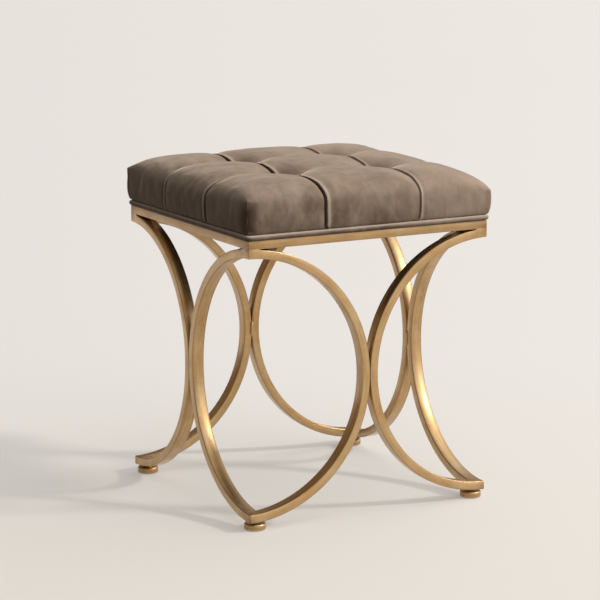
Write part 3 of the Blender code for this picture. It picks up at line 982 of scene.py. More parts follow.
    def build_bars(self) -> None:
        """Adds the eight bent bars."""
        marks = [Vector((self.bar_radius, self.deep / 2, self.waist)),
                 Vector((0, 0, self.bar_underside)), Vector((0, 0, self.rail_underside))]
        for number, face in enumerate(Face):
            for second, node in enumerate(face.value):
                bm = self.bar_sweep()
                self.mark_metal(bm, [self.bar_grain(vert.co) for vert in bm.verts],
                                self.grain_shift * (2 * number + second),
                                self.bar_radius - self.thick)
                self.fill_joint(bm)
                self.age(bm, marks, self.joint_wax)
                self.paint_slot_shade(bm)
                if second:
                    shift(bm, Matrix.Diagonal((-1, 1, 1, 1)))
                    outward(bm)
                corner = (self.half if second else -self.half, -self.half, 0)
                shift(bm, face.turn @ Matrix.Translation(corner))
                self.hang("bent_" + node, bm, self.finishes.gold, [node], weighted=True)

    def build_rails(self) -> None:
        """Adds the four rails of the seat frame."""
        corners = [Vector((side * self.half, 0, self.rail_underside)) for side in (-1, 1)]
        for number, face in enumerate(Face):
            bm = bmesh.new()
            edges = self.section(bm)
            shift(bm, corners[0])
            draw_out(bm, edges, (2 * self.half, 0, 0))
            close_ends(bm)
            for side in (-1, 1):
                mitre(bm, (side * (self.half - self.mitre_setback), 0, 0), (side, 1, 0))
            runs = [edge for edge in bm.edges if edge.calc_length() > self.half]
            bmesh.ops.subdivide_edges(bm, edges=runs, cuts=self.rail_cuts, use_grid_fill=True)
            outward(bm)
            self.mark_metal(bm, [vert.co for vert in bm.verts], -self.grain_shift * (number + 1),
                            self.rail_underside)
            # Dark wax near the corners, and painted shade from the cushion above all along the
            # rail.
            self.age(bm, corners, *self.rail_wax)
            shift(bm, face.turn @ Matrix.Translation((0, -self.half, 0)))
            self.hang("mitred_rail_" + face.label, bm, self.finishes.gold,
                      ["rail_" + face.label], weighted=True)

    def build_waist_welds(self) -> None:
        """Adds the bead behind each place where two bars touch."""
        back = -self.half + self.deep + self.waist_bead_out
        for face in Face:
            bm = self.waist_bead.mesh()
            shift(bm, face.turn @ Matrix.Translation((0, back, self.waist)))
            self.hang("weld_bead_" + face.label, bm, self.finishes.gold,
                      ["waist_weld_" + face.label], smooth=180.0)

    def build_plate_welds(self) -> None:
        """Adds the beads that hold each corner plate to its two rails."""
        inner = self.deep - self.half
        middle = inner + self.plate_bead_at
        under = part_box("corner_plate_front_left")[0].z
        for corner in Corner:
            beads = []
            for axis, place in (("Y", (middle, inner, under)), ("X", (inner, middle, under))):
                beads.append(self.plate_bead.mesh())
                shift(beads[-1], corner.turn @ Matrix.Translation(place)
                      @ Matrix.Rotation(QUARTER, 4, axis))
            self.hang("plate_welds_" + corner.label, join(beads), self.finishes.gold,
                      smooth=180.0)

    def build(self) -> None:
        """Adds the whole base."""
        self.build_bars()
        self.build_rails()
        self.build_waist_welds()
        self.build_plate_welds()


@dataclass
class ScrewFoot(Assembly):
    """A turned disc foot on a threaded stud."""

    place: float = 0.183
    radius: float = 0.0159
    underside: float = 0.0010
    disc_top: float = 0.0102
    top_round: float = 0.0027
    low_round: float = 0.0015
    neck_radius: float = 0.0070
    neck_top: float = 0.0125
    neck_round: float = 0.0004
    cove: float = 0.0009
    stud_radius: float = 0.0030
    stud_length: float = 0.0100
    stud_bevel: float = 0.0006
    thread_depth: float = 0.00045
    thread_root: float = 0.0001
    thread_half: float = 0.42
    thread_steps: int = 24
    pitch: float = 0.0010
    pad_recess: float = 0.0113
    recess_top: float = 0.0019
    # How dark the feet are made: an even share on the disc, rising up the neck to a painted shade
    # under the bar.
    dark_wax_and_shade: Pair = (0.35, 0.8)
    steps: int = 64

    def profile(self) -> list[Pair]:
        """The foot's outline from the top of its stud to the recess for its pad.

        Returns:
            Radius and height pairs, from the top down.
        """
        core = self.stud_radius - self.thread_depth
        top = self.neck_top + self.stud_length
        points = [(0, top), (core - self.stud_bevel, top), (core, top - self.stud_bevel),
                  (core, self.neck_top)]
        for across, up, radius, start, end, steps in (
                (self.neck_radius - self.neck_round, self.neck_top - self.neck_round,
                 self.neck_round, 90, 0, 3),
                (self.neck_radius + self.cove, self.disc_top + self.cove, self.cove, 180, 270, 5),
                (self.radius - self.top_round, self.disc_top - self.top_round, self.top_round,
                 90, 0, 10),
                (self.radius - self.low_round, self.underside + self.low_round, self.low_round,
                 0, -90, 8)):
            points += fillet((across, up), radius, start, end, steps)
        return points + [(self.pad_recess, self.underside), (self.pad_recess, self.recess_top),
                         (0, self.recess_top)]

    def thread(self) -> BMesh:
        """The screw thread round the stud, as one closed ridge.

        Returns:
            The ridge's mesh.
        """
        bm = bmesh.new()
        core = self.stud_radius - self.thread_depth - self.thread_root
        low = self.neck_top + self.pitch
        turns = self.stud_length / self.pitch - 2
        foot = self.thread_half * self.pitch
        verts = [bm.verts.new((radius, 0, height)) for radius, height in (
            (core, low - foot), (self.stud_radius, low), (core, low + foot))]
        edges = [bm.edges.new((verts[i - 1], verts[i])) for i in range(len(verts))]
        steps = round(self.thread_steps * turns)
        bmesh.ops.spin(bm, geom=verts + edges, cent=(0, 0, 0), axis=(0, 0, 1),
                       dvec=(0, 0, self.pitch * turns / steps), angle=math.tau * turns,
                       steps=steps)
        close_ends(bm)
        outward(bm)
        return bm

    def build(self) -> None:
        """Adds the four feet."""
        neck = self.neck_top - self.disc_top
        least, most = self.dark_wax_and_shade
        for corner in Corner:
            bm = join([turned(self.profile(), self.steps), self.thread()])
            mark(bm, "grain", [Vector((0, vert.co.xy.length, vert.co.z)) for vert in bm.verts])
            # Darker all over, and more up the neck, where the darkening is painted shade under the
            # bar.
            mark(bm, "aged", [max(least, min(most, (vert.co.z - self.disc_top) / neck))
                              for vert in bm.verts])
            shift(bm, corner.at(self.place))
            self.hang("turned_foot_" + corner.label, bm, self.finishes.gold,
                      ["foot_" + corner.label], "foot_" + corner.label + "_body", 50.0)


# The upholstery


def hill(value: np.ndarray, middle: float, width: float) -> np.ndarray:
    """Is 1 in the middle and falls away on both sides."""
    return np.exp(-((value - middle) / width) ** 2)


def ramp(value: np.ndarray, low: float, high: float) -> np.ndarray:
    """Goes straight from 0 at one value to 1 at another."""
    return np.clip((value - low) / (high - low), 0, 1)


@dataclass(frozen=True)
class Pleat:
    """One sewn pleat across the seat.

    Attributes:
        place: Where it lies, from the middle of the seat.
        depth: How deep its crease is.
        gap: How wide the crease stands open.
        lip: How far the folded edge beside the crease stands up.
        side: On which side of the crease the folded edge lies, 1 or -1.
    """

    place: float
    depth: float
    gap: float
    lip: float
    side: int = 1
    roll: float = 0.0085
    roll_power: float = 2.4
    wall: float = 0.0009
    lip_at: Pair = (0.0019, 0.0014)
    tuck: float = 0.0005
    tuck_at: Pair = (0.0074, 0.0013)
    lean: float = 0.9
    lean_at: Pair = (0.0013, 0.0013)
    # Painted shade in the crease, and a painted highlight on the fold's crest.
    shade_reach: Pair = (0.0004, 0.25)
    faint: float = 0.35
    open_gap: float = 0.0025
    crest: float = 0.4
    full_lip: float = 0.004
    crest_at: Pair = (0.0022, 0.0016)

    def section(self, away: np.ndarray) -> tuple[np.ndarray, ...]:
        """The section of the pleat.

        Args:
            away: Distances across it; the folded edge is on the positive side.

        Returns:
            How far the cloth rises there, how far it leans over the crease, how much painted shade
            it takes and how much painted highlight it takes on the crest of the fold.
        """
        edge = self.gap / 2
        past = away - edge
        rolled = ramp(away, -edge - self.roll, -edge) ** self.roll_power
        near_side = -self.depth * (1 - np.sqrt(np.clip(1 - rolled, 0, 1)))
        lip = self.lip * hill(past, *self.lip_at) - self.tuck * hill(past, *self.tuck_at)
        far_side = (self.depth + lip) * ease(past / self.wall) - self.depth
        rise = np.where(away < -edge, near_side, np.where(away < edge, -self.depth, far_side))
        lean = -self.lean * self.gap * hill(past, *self.lean_at)
        soft = self.shade_reach[0] + self.shade_reach[1] * self.gap
        shade = min(1.0, self.faint + self.gap / self.open_gap) * hill(
            np.maximum(edge, np.abs(away)), edge, soft)
        return rise, lean, shade, (self.crest + self.lip / self.full_lip) * hill(
            past, *self.crest_at)


class Net:
    """The net of a cover while it is worked."""

    def __init__(self, mesh: BMesh, plan: np.ndarray) -> None:
        """Takes the mesh, and for each point its place on the square seat and its ring.

        Args:
            mesh: The mesh.
            plan: The x, y and ring of each of its points.
        """
        self.mesh = mesh
        self.x, self.y = plan[:, 0], plan[:, 1]
        self.row = plan[:, 2].astype(int)
        self.at = np.zeros_like(plan)
        self.normals = np.zeros_like(plan)
        self.shade = np.zeros(len(plan))
        self.crest = np.zeros(len(plan))

    def settle(self) -> None:
        """Moves the mesh to the points' places and takes their outward directions from it."""
        for vert, place in zip(self.mesh.verts, self.at):
            vert.co = place
        self.mesh.normal_update()
        self.normals = np.array([vert.normal[:] for vert in self.mesh.verts])

    def raise_by(self, rise: np.ndarray) -> None:
        """Moves the points outward."""
        self.at += self.normals * rise[:, None]

    def darken(self, amount: np.ndarray) -> None:
        """Marks how much painted shade the points take, where they aren't darker already."""
        self.shade = np.maximum(self.shade, amount)

    def lighten(self, amount: np.ndarray) -> None:
        """Marks how much painted highlight the points take on a crest, where they haven't more
        already.
        """
        self.crest = np.maximum(self.crest, amount)


@dataclass
class Cushion(Assembly):
    """The tufted seat: nine puffed panels between four sewn pleats, over a square board.

    A pair of sizes is the middle and width of a hill, the low and high end of a ramp, or a
    share and its reach.
    """

    half: float = 0.203
    base: float = 0.424
    edge_height: float = 0.044
    corner_lift: float = 0.012
    corner_power: int = 5
    dome: float = 0.0338
    crown: float = 0.005
    shoulder_power: float = 8.0
    corner_radius: float = 0.0038
    valley_depth: float = 0.0040
    valley_reach: float = 0.015
    tuft_depth: float = 0.024
    tuft_reach: float = 0.028
    valley_fall: float = 1.2
    valley_power: float = 1.3
    slump: float = 0.0125
    slump_reach: float = 0.048
    across: tuple[Pleat, Pleat] = (Pleat(-0.074, 0.0066, 0.0037, 0.0015),
                                   Pleat(0.080, 0.0013, 0.0003, 0.0022))
    along: tuple[Pleat, Pleat] = (Pleat(-0.070, 0.0046, 0.0018, 0.0010),
                                  Pleat(0.068, 0.0030, 0.0012, 0.0008, -1))
    fine_steps: tuple[float, ...] = (-13, -10.5, -8.6, -7.1, -5.8, -4.7, -3.8, -3.1, -2.5, -2.0,
                                     -1.6, -1.2, -0.8, -0.4, 0.0, 0.4, 0.8, 1.1, 1.4, 1.7, 2.1,
                                     2.5, 3.0, 3.7, 4.6, 5.7, 6.9, 8.2, 10, 13)
    edge_steps: int = 27
    edge_power: float = 1.7
    middle_steps: int = 25
    side_profile: tuple[Pair, ...] = (
        (42.0, 0.15), (40.0, 0.3), (38.0, 0.4), (35.5, 0.5), (33.0, 0.55), (30.0, 0.55),
        (27.0, 0.5), (24.0, 0.35), (21.0, 0.1), (18.5, -0.2), (16.5, -0.5), (14.8, -0.85),
        (13.4, -1.15), (12.2, -1.45), (11.2, -1.8), (10.4, -2.15), (9.7, -2.6), (9.1, -3.2),
        (8.6, -3.9), (8.2, -4.8), (7.95, -6.0), (4.0, -8.7), (0.35, -8.7), (0.35, -30.6))
    last_side_row: int = 21
    at_edge: float = 1e-7
    cloth_lines: int = 75
    cloth_rows: tuple[int, ...] = (0, 2, 4, 6, 8, 10, 12, 15, 18)
    cloth_frames: int = 20
    cloth_settings: tuple[tuple[str, float], ...] = (
        ("quality", 6), ("mass", 0.25), ("tension_stiffness", 25.0),
        ("compression_stiffness", 25.0), ("shear_stiffness", 12.0), ("bending_stiffness", 1.5),
        ("shrink_min", -0.02), ("use_pressure", True), ("uniform_pressure_force", 4.0))
    held_reach: Triple = (0.0045, 0.016, 0.008)
    held_corner: float = 0.9
    swell_share: float = 0.42
    swell_cap: float = 0.003
    swell_blur: float = 0.0005
    waves: tuple[Pair, Pair] = ((26.0, 0.0008), (62.0, 0.0003))
    pucker: float = 0.0009
    pucker_scale: Pair = (95.0, 30.0)
    pucker_fade: Pair = (0.009, 0.006)
    tuft_ease: Pair = (0.85, 0.012)
    hem_rows: Pair = (18.5, 13.5)
    hem_share: float = 0.2
    flat_share: Pair = (0.38, 0.2)
    flat_ease: Pair = (0.9, 0.022)
    flat_until: Pair = (0.150, 0.200)
    # The corner hollows are pressed in and take painted shade; the pinch takes painted shade and
    # the ridge a painted highlight.
    hollows: tuple[Triple, Triple] = ((0.0060, 0.0076, 1.0), (0.0080, 0.0085, 0.95))
    hollow_depth: float = 0.0030
    side_reach: float = 0.004
    band_foot: Pair = (0.007, 0.012)
    band_top: Pair = (0.054, 0.048)
    corner_pull: Triple = (1.0, 0.12, 0.3)
    pinch: float = 0.9
    pinch_at: tuple[Pair, Pair] = ((0.0035, 0.0045), (0.050, 0.005))
    ridge: Pair = (0.2, 0.0011)
    # Painted shadow on the slope behind each tuft: how dark, how far off the tuft and how far it
    # reaches.
    pit_shade: float = 0.65
    pit_at: Pair = (0.013, 0.014)
    pit_reach: float = 0.018

    @property
    def rings(self) -> np.ndarray:
        """How high each ring lies over the base, and how far outside the seat's square."""
        return np.vstack([(self.edge_height, 0.0), np.array(self.side_profile) * MM]).T

    def stations(self, pleats: tuple[Pleat, Pleat]) -> list[float]:
        """Places of the fine grid lines along one side, closest at the edges and pleats.

        Args:
            pleats: The two pleats that the lines lie along.

        Returns:
            The places, in order.
        """
        near = [[pleat.place + step * MM for step in self.fine_steps] for pleat in pleats]
        lines = near[0] + near[1]
        for side, last in ((-1, near[0][0]), (1, near[1][-1])):
            span = self.half - side * last
            lines += [side * (self.half - span * (step / self.edge_steps) ** self.edge_power)
                      for step in range(self.edge_steps)]
        span = near[1][0] - near[0][-1]
        lines += [near[0][-1] + span * step / self.middle_steps
                  for step in range(1, self.middle_steps)]
        return sorted(lines)

    def shoulder(self, place: np.ndarray) -> np.ndarray:
        """Is 1 over the middle of the seat and drops to 0 at its edge."""
        share = np.abs(place) / self.half
        return np.sqrt(np.clip(1 - share ** self.shoulder_power, 0, 1))

    def nearest(self, place: np.ndarray, pleats: tuple[Pleat, Pleat]) -> np.ndarray:
        """Distance to the nearer of two pleats."""
        return np.minimum(*(np.abs(place - pleat.place) for pleat in pleats))

    def near_edge(self, place: np.ndarray, reach: float) -> np.ndarray:
        """Whether places lie within reach of the seat's edge."""
        return np.abs(np.abs(place) - self.half) < reach

    def top_height(self, x: np.ndarray, y: np.ndarray) -> np.ndarray:
        """Height of the smooth top, with its broad valleys and tufts but no pleats.

        Args:
            x: Places across the seat.
            y: Places along the seat.

        Returns:
            The height at each place.
        """
        across, along = np.abs(x) / self.half, np.abs(y) / self.half
        dome = self.shoulder(x) * self.shoulder(y)
        height = self.base + self.edge_height + self.corner_lift * (
            across * along) ** self.corner_power
        height += self.dome * dome + self.crown * (1 - across ** 2) * (1 - along ** 2)
        to_x, to_y = self.nearest(x, self.across), self.nearest(y, self.along)
        near = (np.minimum(to_x, to_y) / self.valley_reach) ** self.valley_power
        height -= self.valley_depth * dome * np.exp(-self.valley_fall * near)
        to_corner = np.hypot(x - self.half, y + self.half)
        height -= self.slump * np.exp(-to_corner / self.slump_reach)
        near = (np.hypot(to_x, to_y) / self.tuft_reach) ** self.valley_power
        return height - self.tuft_depth * np.exp(-near)

    def ring(self, x: np.ndarray, y: np.ndarray,
             half: np.ndarray) -> tuple[np.ndarray, np.ndarray]:
        """Moves places of the seat's square onto a rounded square of another size.

        Args:
            x: Places across the seat.
            y: Places along the seat.
            half: Half the width of the rounded square, for each place.

        Returns:
            The moved places, across and along.
        """
        x, y = x * half / self.half, y * half / self.half
        flat = half - self.corner_radius
        over_x, over_y = np.abs(x) - flat, np.abs(y) - flat
        inside = np.minimum(over_x, over_y) <= 0
        shrink = np.maximum(over_x, over_y) / np.maximum(np.hypot(over_x, over_y), 1e-9)
        return (np.where(inside, x, np.copysign(flat + over_x * shrink, x)),
                np.where(inside, y, np.copysign(flat + over_y * shrink, y)))

    def net(self, xs: Sequence[float], ys: Sequence[float], rows: Sequence[int]) -> Net:
        """Draws a net over the smooth cushion: a grid on top, and rings down its sides.

        Args:
            xs: Places of the grid lines across the seat.
            ys: Places of the grid lines along the seat.
            rows: The rings that it has. Ring 0 is the grid's own edge.

        Returns:
            The net.
        """
        bm = bmesh.new()
        cells = (len(xs) - 1, len(ys) - 1)
        bmesh.ops.create_grid(bm, x_segments=cells[0], y_segments=cells[1], size=1.0)
        plan = []
        for vert in bm.verts:
            plan.append((xs[round((vert.co.x + 1) / 2 * cells[0])],
                         ys[round((vert.co.y + 1) / 2 * cells[1])], 0))
            vert.co = plan[-1]
        edges = [edge for edge in bm.edges if edge.is_boundary]
        for row in rows[1:]:
            fresh, edges = draw_out(bm, edges, (0, 0, 0))
            bm.verts.index_update()
            plan += [(*vert.co.xy, row) for vert in sorted(fresh, key=lambda vert: vert.index)]
        net = Net(bm, np.array(plan))
        heights, outs = self.rings
        high = np.where(net.row == 0, self.top_height(net.x, net.y),
                        self.base + heights[net.row])
        net.at = np.stack([*self.ring(net.x, net.y, self.half + outs[net.row]), high], axis=1)
        net.settle()
        outward(bm)
        return net

    def laid_flat(self, net: Net) -> np.ndarray:
        """Lays a net out flat, with the sides folded up beyond the top's edges.

        Args:
            net: The net.

        Returns:
            Its points' places on the flat.
        """
        drop = self.edge_height - self.rings[0][net.row]
        spots = [place + np.where(self.near_edge(place, self.at_edge),
                                  np.copysign(drop, place), 0) for place in (net.x, net.y)]
        return np.stack([*spots, np.zeros(len(drop))], axis=1)

    def held(self, net: Net) -> np.ndarray:
        """How firmly each point is held while the cover swells: pleats, tufts, corners, hem.

        Args:
            net: The net that swells.

        Returns:
            1 where a point is held fast, 0 where free.
        """
        to_x, to_y = self.nearest(net.x, self.across), self.nearest(net.y, self.along)
        corner = np.hypot(np.abs(net.x) - self.half, np.abs(net.y) - self.half)
        pleats, tufts, corners = (hill(away, 0, reach) for away, reach in zip(
            (np.minimum(to_x, to_y), np.hypot(to_x, to_y), corner), self.held_reach))
        held = np.maximum(np.maximum(pleats, tufts), self.held_corner * corners)
        return np.where(net.row >= self.cloth_rows[-3], 1.0, held)

    def swell(self) -> tuple[kdtree.KDTree, np.ndarray]:
        """Blows the cover up as cloth held at its pleats, tufts and hem.

        Returns:
            A tree of the places on the cover laid flat, and how far each has moved.
        """
        lines = list(np.linspace(-self.half, self.half, self.cloth_lines))
        net = self.net(lines, lines, self.cloth_rows)
        cloth = put("swelling", stored("swelling", net.mesh))
        pins = cloth.vertex_groups.new(name="held")
        for index, weight in enumerate(self.held(net).tolist()):
            pins.add([index], weight, "REPLACE")
        modifier = cloth.modifiers.new("swell", "CLOTH")
        modifier.settings.vertex_group_mass = pins.name
        modifier.settings.effector_weights.gravity = 0.0
        for name, value in self.cloth_settings:
            setattr(modifier.settings, name, value)
        modifier.point_cache.frame_start = 1
        modifier.point_cache.frame_end = self.cloth_frames
        scene = bpy.context.scene
        for number in range(1, self.cloth_frames + 1):
            scene.frame_set(number)
        swollen = cloth.evaluated_get(bpy.context.evaluated_depsgraph_get()).to_mesh()
        moves = np.array([vert.co[:] for vert in swollen.vertices]) - net.at
        scene.frame_set(1)
        bpy.data.objects.remove(cloth, do_unlink=True)
        length = np.linalg.norm(moves, axis=1, keepdims=True)
        LOG.info("cloth moved %.1f mm on average, %.1f at most", length.mean() / MM,
                 length.max() / MM)
        moves *= np.minimum(self.swell_share, self.swell_cap / np.maximum(length, 1e-9))
        tree = kdtree.KDTree(len(moves))
        for index, place in enumerate(self.laid_flat(net)):
            tree.insert(place, index)
        tree.balance()
        return tree, moves

    def blow_up(self, net: Net) -> None:
        """Moves the points of a finer net as the swollen cloth moved round them.

        Args:
            net: The finer net.
        """
        tree, moves = self.swell()
        for index, place in enumerate(self.laid_flat(net)):
            if net.row[index] < self.cloth_rows[-1]:
                found = tree.find_n(place, 4)
                weights = np.array([(away + self.swell_blur) ** -2 for _, _, away in found])
                near = moves[[number for _, number, _ in found]]
                net.at[index] += weights @ near / weights.sum()

    def wrinkle(self, net: Net) -> None:
        """Adds slack: low waves all over, and puckers where the sides meet the piping.

        Args:
            net: The cushion's net.
        """
        level, upright = self.pucker_scale
        above, fade = self.pucker_fade
        rise = np.zeros(len(net.at))
        for index in np.flatnonzero(net.row <= self.last_side_row - 2):
            spot = Vector(net.at[index])
            low = math.exp(-max(0.0, net.at[index][2] - self.base - above) / fade)
            pucker = noise.noise(Vector((spot.x * level, spot.y * level, spot.z * upright)))
            rise[index] = self.pucker * pucker * low + sum(
                noise.noise(spot * scale) * depth for scale, depth in self.waves)
        net.raise_by(rise)

    def sew_pleats(self, net: Net) -> None:
        """Presses the four pleats in, fainter at the tufts, on the hem and on the flat top.

        Their creases take painted shade and their folded edges a painted highlight.

        Args:
            net: The cushion's net.
        """
        hem = self.hem_share + (1 - self.hem_share) * ramp(net.row, *self.hem_rows)
        for axis, (pleats, others, place, other) in enumerate((
                (self.across, self.along, net.x, net.y),
                (self.along, self.across, net.y, net.x))):
            to_tuft = self.nearest(other, others)
            share, wide = self.tuft_ease
            reach = (1 - share * hill(to_tuft, 0, wide)) * hem
            reach *= (net.row <= self.last_side_row) & ~self.near_edge(place, self.at_edge)
            if axis == 1:
                share, wide = self.flat_ease
                low = np.where(other < self.across[0].place, *self.flat_share)
                low *= 1 - share * hill(to_tuft, 0, wide)
                full = ramp(np.abs(other), *self.flat_until) ** 2
                reach *= np.where(net.row == 0, low + (1 - low) * full, 1.0)
            for pleat in pleats:
                rise, lean, dark, light = pleat.section(pleat.side * (place - pleat.place))
                net.raise_by(rise * reach)
                net.at[:, axis] += pleat.side * lean * reach
                net.darken(dark * reach)
                net.lighten(light * reach)

    def fold_corners(self, net: Net) -> None:
        """Presses a hollow in beside each corner's seam, deepest at the front left, with painted
        shade in it, more painted shade at the pinch near its top and a painted highlight on the
        corner's ridge.

        Args:
            net: The cushion's net.
        """
        height = net.at[:, 2] - self.base
        band = ramp(height, *self.band_foot) * ramp(height, *self.band_top)
        left, right, back = self.corner_pull
        pull = np.where(net.y < 0, np.where(net.x < 0, left, right), back)
        (pinch_out, pinch_wide), pinch_height = self.pinch_at
        ridge, ridge_wide = self.ridge
        for (place, wide, dark), along, face in zip(self.hollows, (net.x, net.y),
                                                    (net.y, net.x)):
            side = pull * self.near_edge(face, self.side_reach)
            from_corner = self.half - np.abs(along)
            hollow = hill(from_corner, place, wide) * band * side
            net.raise_by(-self.hollow_depth * hollow)
            net.darken(dark * hollow)
            net.darken(self.pinch * side * hill(from_corner, pinch_out, pinch_wide)
                       * hill(height, *pinch_height))
            net.lighten(ridge * hill(from_corner, 0, ridge_wide) * band * side)

    def paint_pit_shadows(self, net: Net) -> None:
        """Paints shadow on the top's slope behind each tuft.

        Args:
            net: The cushion's net.
        """
        out_x, out_y = self.pit_at
        for across in self.across:
            for along in self.along:
                away = np.hypot(net.x - across.place - out_x, net.y - along.place - out_y)
                net.darken(self.pit_shade * hill(away, 0, self.pit_reach) * (net.row == 0))

    def build(self) -> None:
        """Adds the cushion."""
        net = self.net(self.stations(self.across), self.stations(self.along),
                       range(len(self.side_profile) + 1))
        self.blow_up(net)
        net.settle()
        self.wrinkle(net)
        net.settle()
        self.sew_pleats(net)
        self.fold_corners(net)
        self.paint_pit_shadows(net)
        net.settle()
        close_ends(net.mesh)
        # These marks carry the painted shade in folds and the painted highlights on crests to the
        # velvet.
        mark(net.mesh, "fold", net.shade.tolist())
        mark(net.mesh, "crest", net.crest.tolist())
        piece = self.hang("tufted_cushion", net.mesh, self.finishes.velvet,
                          ["seat_cover", "foam_core"], smooth=75.0)


@dataclass
class Piping(Assembly):
    """The covered cord round the foot of the cushion."""

    radius: float = 0.00375
    half: float = 0.19845
    height: float = 0.42775
    corner_radius: float = 0.0045
    sides: int = 18
    run_steps: int = 110
    corner_steps: int = 12
    seam: float = 0.00005
    # Painted shade on the cord's underside and inner side, and a painted highlight on its top.
    shade: float = 0.5
    top_highlight: float = 1.25
    waves: tuple[Triple, Triple] = ((140.0, 3.0, 0.00022), (22.0, 9.0, 0.00018))
    ripples: int = 90
    ripple_depth: float = 0.00005

    def sweep(self) -> BMesh:
        """Sweeps the cord's section round the seat.

        Returns:
            The closed ring.
        """
        bm = bmesh.new()
        reach = self.half - self.corner_radius
        start = Matrix.Translation((-reach, -self.half, self.height))
        bmesh.ops.create_circle(bm, segments=self.sides, radius=self.radius,
                                matrix=start @ Matrix.Rotation(QUARTER, 4, "Y"))
        edges = bm.edges[:]
        for face in Face:
            step = face.turn @ Vector((2 * reach / self.run_steps, 0, 0))
            for _ in range(self.run_steps):
                _, edges = draw_out(bm, edges, step)
            centre = face.turn @ Vector((reach, -reach, self.height))
            edges = bend(bm, edges, centre, (0, 0, 1), QUARTER, self.corner_steps)
        bmesh.ops.remove_doubles(bm, verts=bm.verts, dist=self.seam)
        outward(bm)
        return bm

    def build(self) -> None:
        """Adds the piping."""
        bm = self.sweep()
        bm.normal_update()
        # Painted shade under the cord and towards the seat's middle, and a painted highlight on
        # its top.
        mark(bm, "fold", [self.shade * max(0.0, -vert.normal.z, -vert.normal.xy.dot(
            vert.co.xy.normalized())) for vert in bm.verts])
        mark(bm, "crest", [max(0.0, self.top_highlight * vert.normal.z) for vert in bm.verts])
        for vert in bm.verts:
            x, y, _ = vert.co
            rise = self.ripple_depth * math.sin(self.ripples * math.atan2(y, x))
            for scale, layer, depth in self.waves:
                rise += depth * noise.noise(Vector((x * scale, y * scale, layer)))
            vert.co += vert.normal * rise
        self.hang("piping", bm, self.finishes.velvet, ["welt_cord"], smooth=180.0)


@dataclass
class Underside(Assembly):
    """What shows from below: the dust cloth with its staples, and the seat's screws."""

    inner: float = 0.175
    cloth_at: float = 0.42325
    cloth_thickness: float = 0.0004
    cloth_cells: int = 60
    sag: float = 0.0006
    sag_shares: Pair = (0.8, 0.5)
    sag_scale: float = 30.0
    staple_crown: float = 0.0100
    staple_wire: float = 0.0007
    staple_round: float = 0.3
    staple_ends: float = 0.045
    staple_inset: float = 0.0065
    staple_drop: float = 0.0005
    staple_tilt: Triple = (0.22, 7.3, 2.1)
    staples_a_side: int = 7
    screw_place: float = 0.1647
    screw_radius: float = 0.0042
    screw_rise: float = 0.0024
    screw_round: float = 0.0016
    shank: float = 0.0020
    shank_tip: float = 0.4
    socket_radius: float = 0.0014
    socket_depth: float = 0.0016
    socket_rim: float = 0.0002
    socket_cone: float = 0.0003

    def cloth(self) -> BMesh:
        """The dust cloth, pulled flat over the frame and sagging a little.

        Returns:
            The cloth's mesh.
        """
        bm = bmesh.new()
        bmesh.ops.create_grid(bm, x_segments=self.cloth_cells, y_segments=self.cloth_cells,
                              size=self.inner)
        least, wavy = self.sag_shares
        for vert in bm.verts:
            x, y = vert.co.xy / self.inner
            slack = (1 - x ** 4) * (1 - y ** 4)
            pull = noise.noise(Vector((*vert.co.xy * self.sag_scale, 2.0)))
            vert.co.z = self.cloth_at - self.sag * slack * (least + wavy * pull)
        bmesh.ops.solidify(bm, geom=bm.faces[:], thickness=self.cloth_thickness)
        outward(bm)
        return bm

    def staples(self) -> BMesh:
        """The staples along the four edges of the dust cloth.

        Returns:
            All the staples in one mesh.
        """
        parts = []
        first = self.staple_ends - self.inner
        lean, by_number, by_face = self.staple_tilt
        for face in Face:
            for number in range(self.staples_a_side):
                bm = bmesh.new()
                bmesh.ops.create_cube(bm, size=1.0)
                shift(bm, Matrix.Diagonal((self.staple_crown, self.staple_wire,
                                           self.staple_wire, 1)))
                bmesh.ops.bevel(bm, geom=bm.edges[:], offset=self.staple_wire * self.staple_round,
                                segments=2, profile=0.5, affect="EDGES", material=-1)
                along = first - number * 2 * first / (self.staples_a_side - 1)
                place = (along, self.staple_inset - self.inner, self.cloth_at - self.staple_drop)
                tilt = lean * math.sin(by_number * number + by_face * face.turn[0][0])
                shift(bm, face.turn @ Matrix.Translation(place) @ Matrix.Rotation(tilt, 4, "Z"))
                parts.append(bm)
        return join(parts)

    def screw(self) -> BMesh:
        """A pan-head screw with a six-sided socket, its head down.

        Returns:
            The screw's mesh.
        """
        bottom, top = (place.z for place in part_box("seat_screw_front_left"))
        head, rim = bottom + self.screw_rise, self.socket_radius + self.socket_rim
        floor = bottom + self.socket_depth
        profile = [(0, top), (self.shank * self.shank_tip, top), (self.shank, top - self.shank),
                   (self.shank, head), (self.screw_radius, head)]
        profile += fillet((self.screw_radius - self.screw_round, bottom + self.screw_round),
                          self.screw_round, 0, -90, 6)
        profile += [(rim, bottom), (self.socket_radius, bottom + self.socket_rim),
                    (self.socket_radius, floor - self.socket_cone), (0, floor)]
        bm = turned(profile, 36)
        flat = math.tau / 12
        for vert in bm.verts:
            if vert.co.xy.length < rim + self.socket_cone and (
                    vert.co.z < floor - self.socket_cone / 3):
                angle = math.atan2(vert.co.y, vert.co.x) % (2 * flat) - flat
                vert.co.xy *= math.cos(flat) / math.cos(angle)
        return bm

    def build(self) -> None:
        """Adds the dust cloth, its staples and the screws."""
        zinc = self.finishes.zinc
        cloth = self.hang("dust_sheet", self.cloth(), self.finishes.dust_cloth, ["dust_cover"])
        staples = self.hang("staples", self.staples(), zinc)
        for corner in Corner:
            bm = self.screw()
            shift(bm, corner.at(self.screw_place))
            self.hang("socket_screw_" + corner.label, bm, zinc, ["seat_screw_" + corner.label],
                      smooth=35.0)


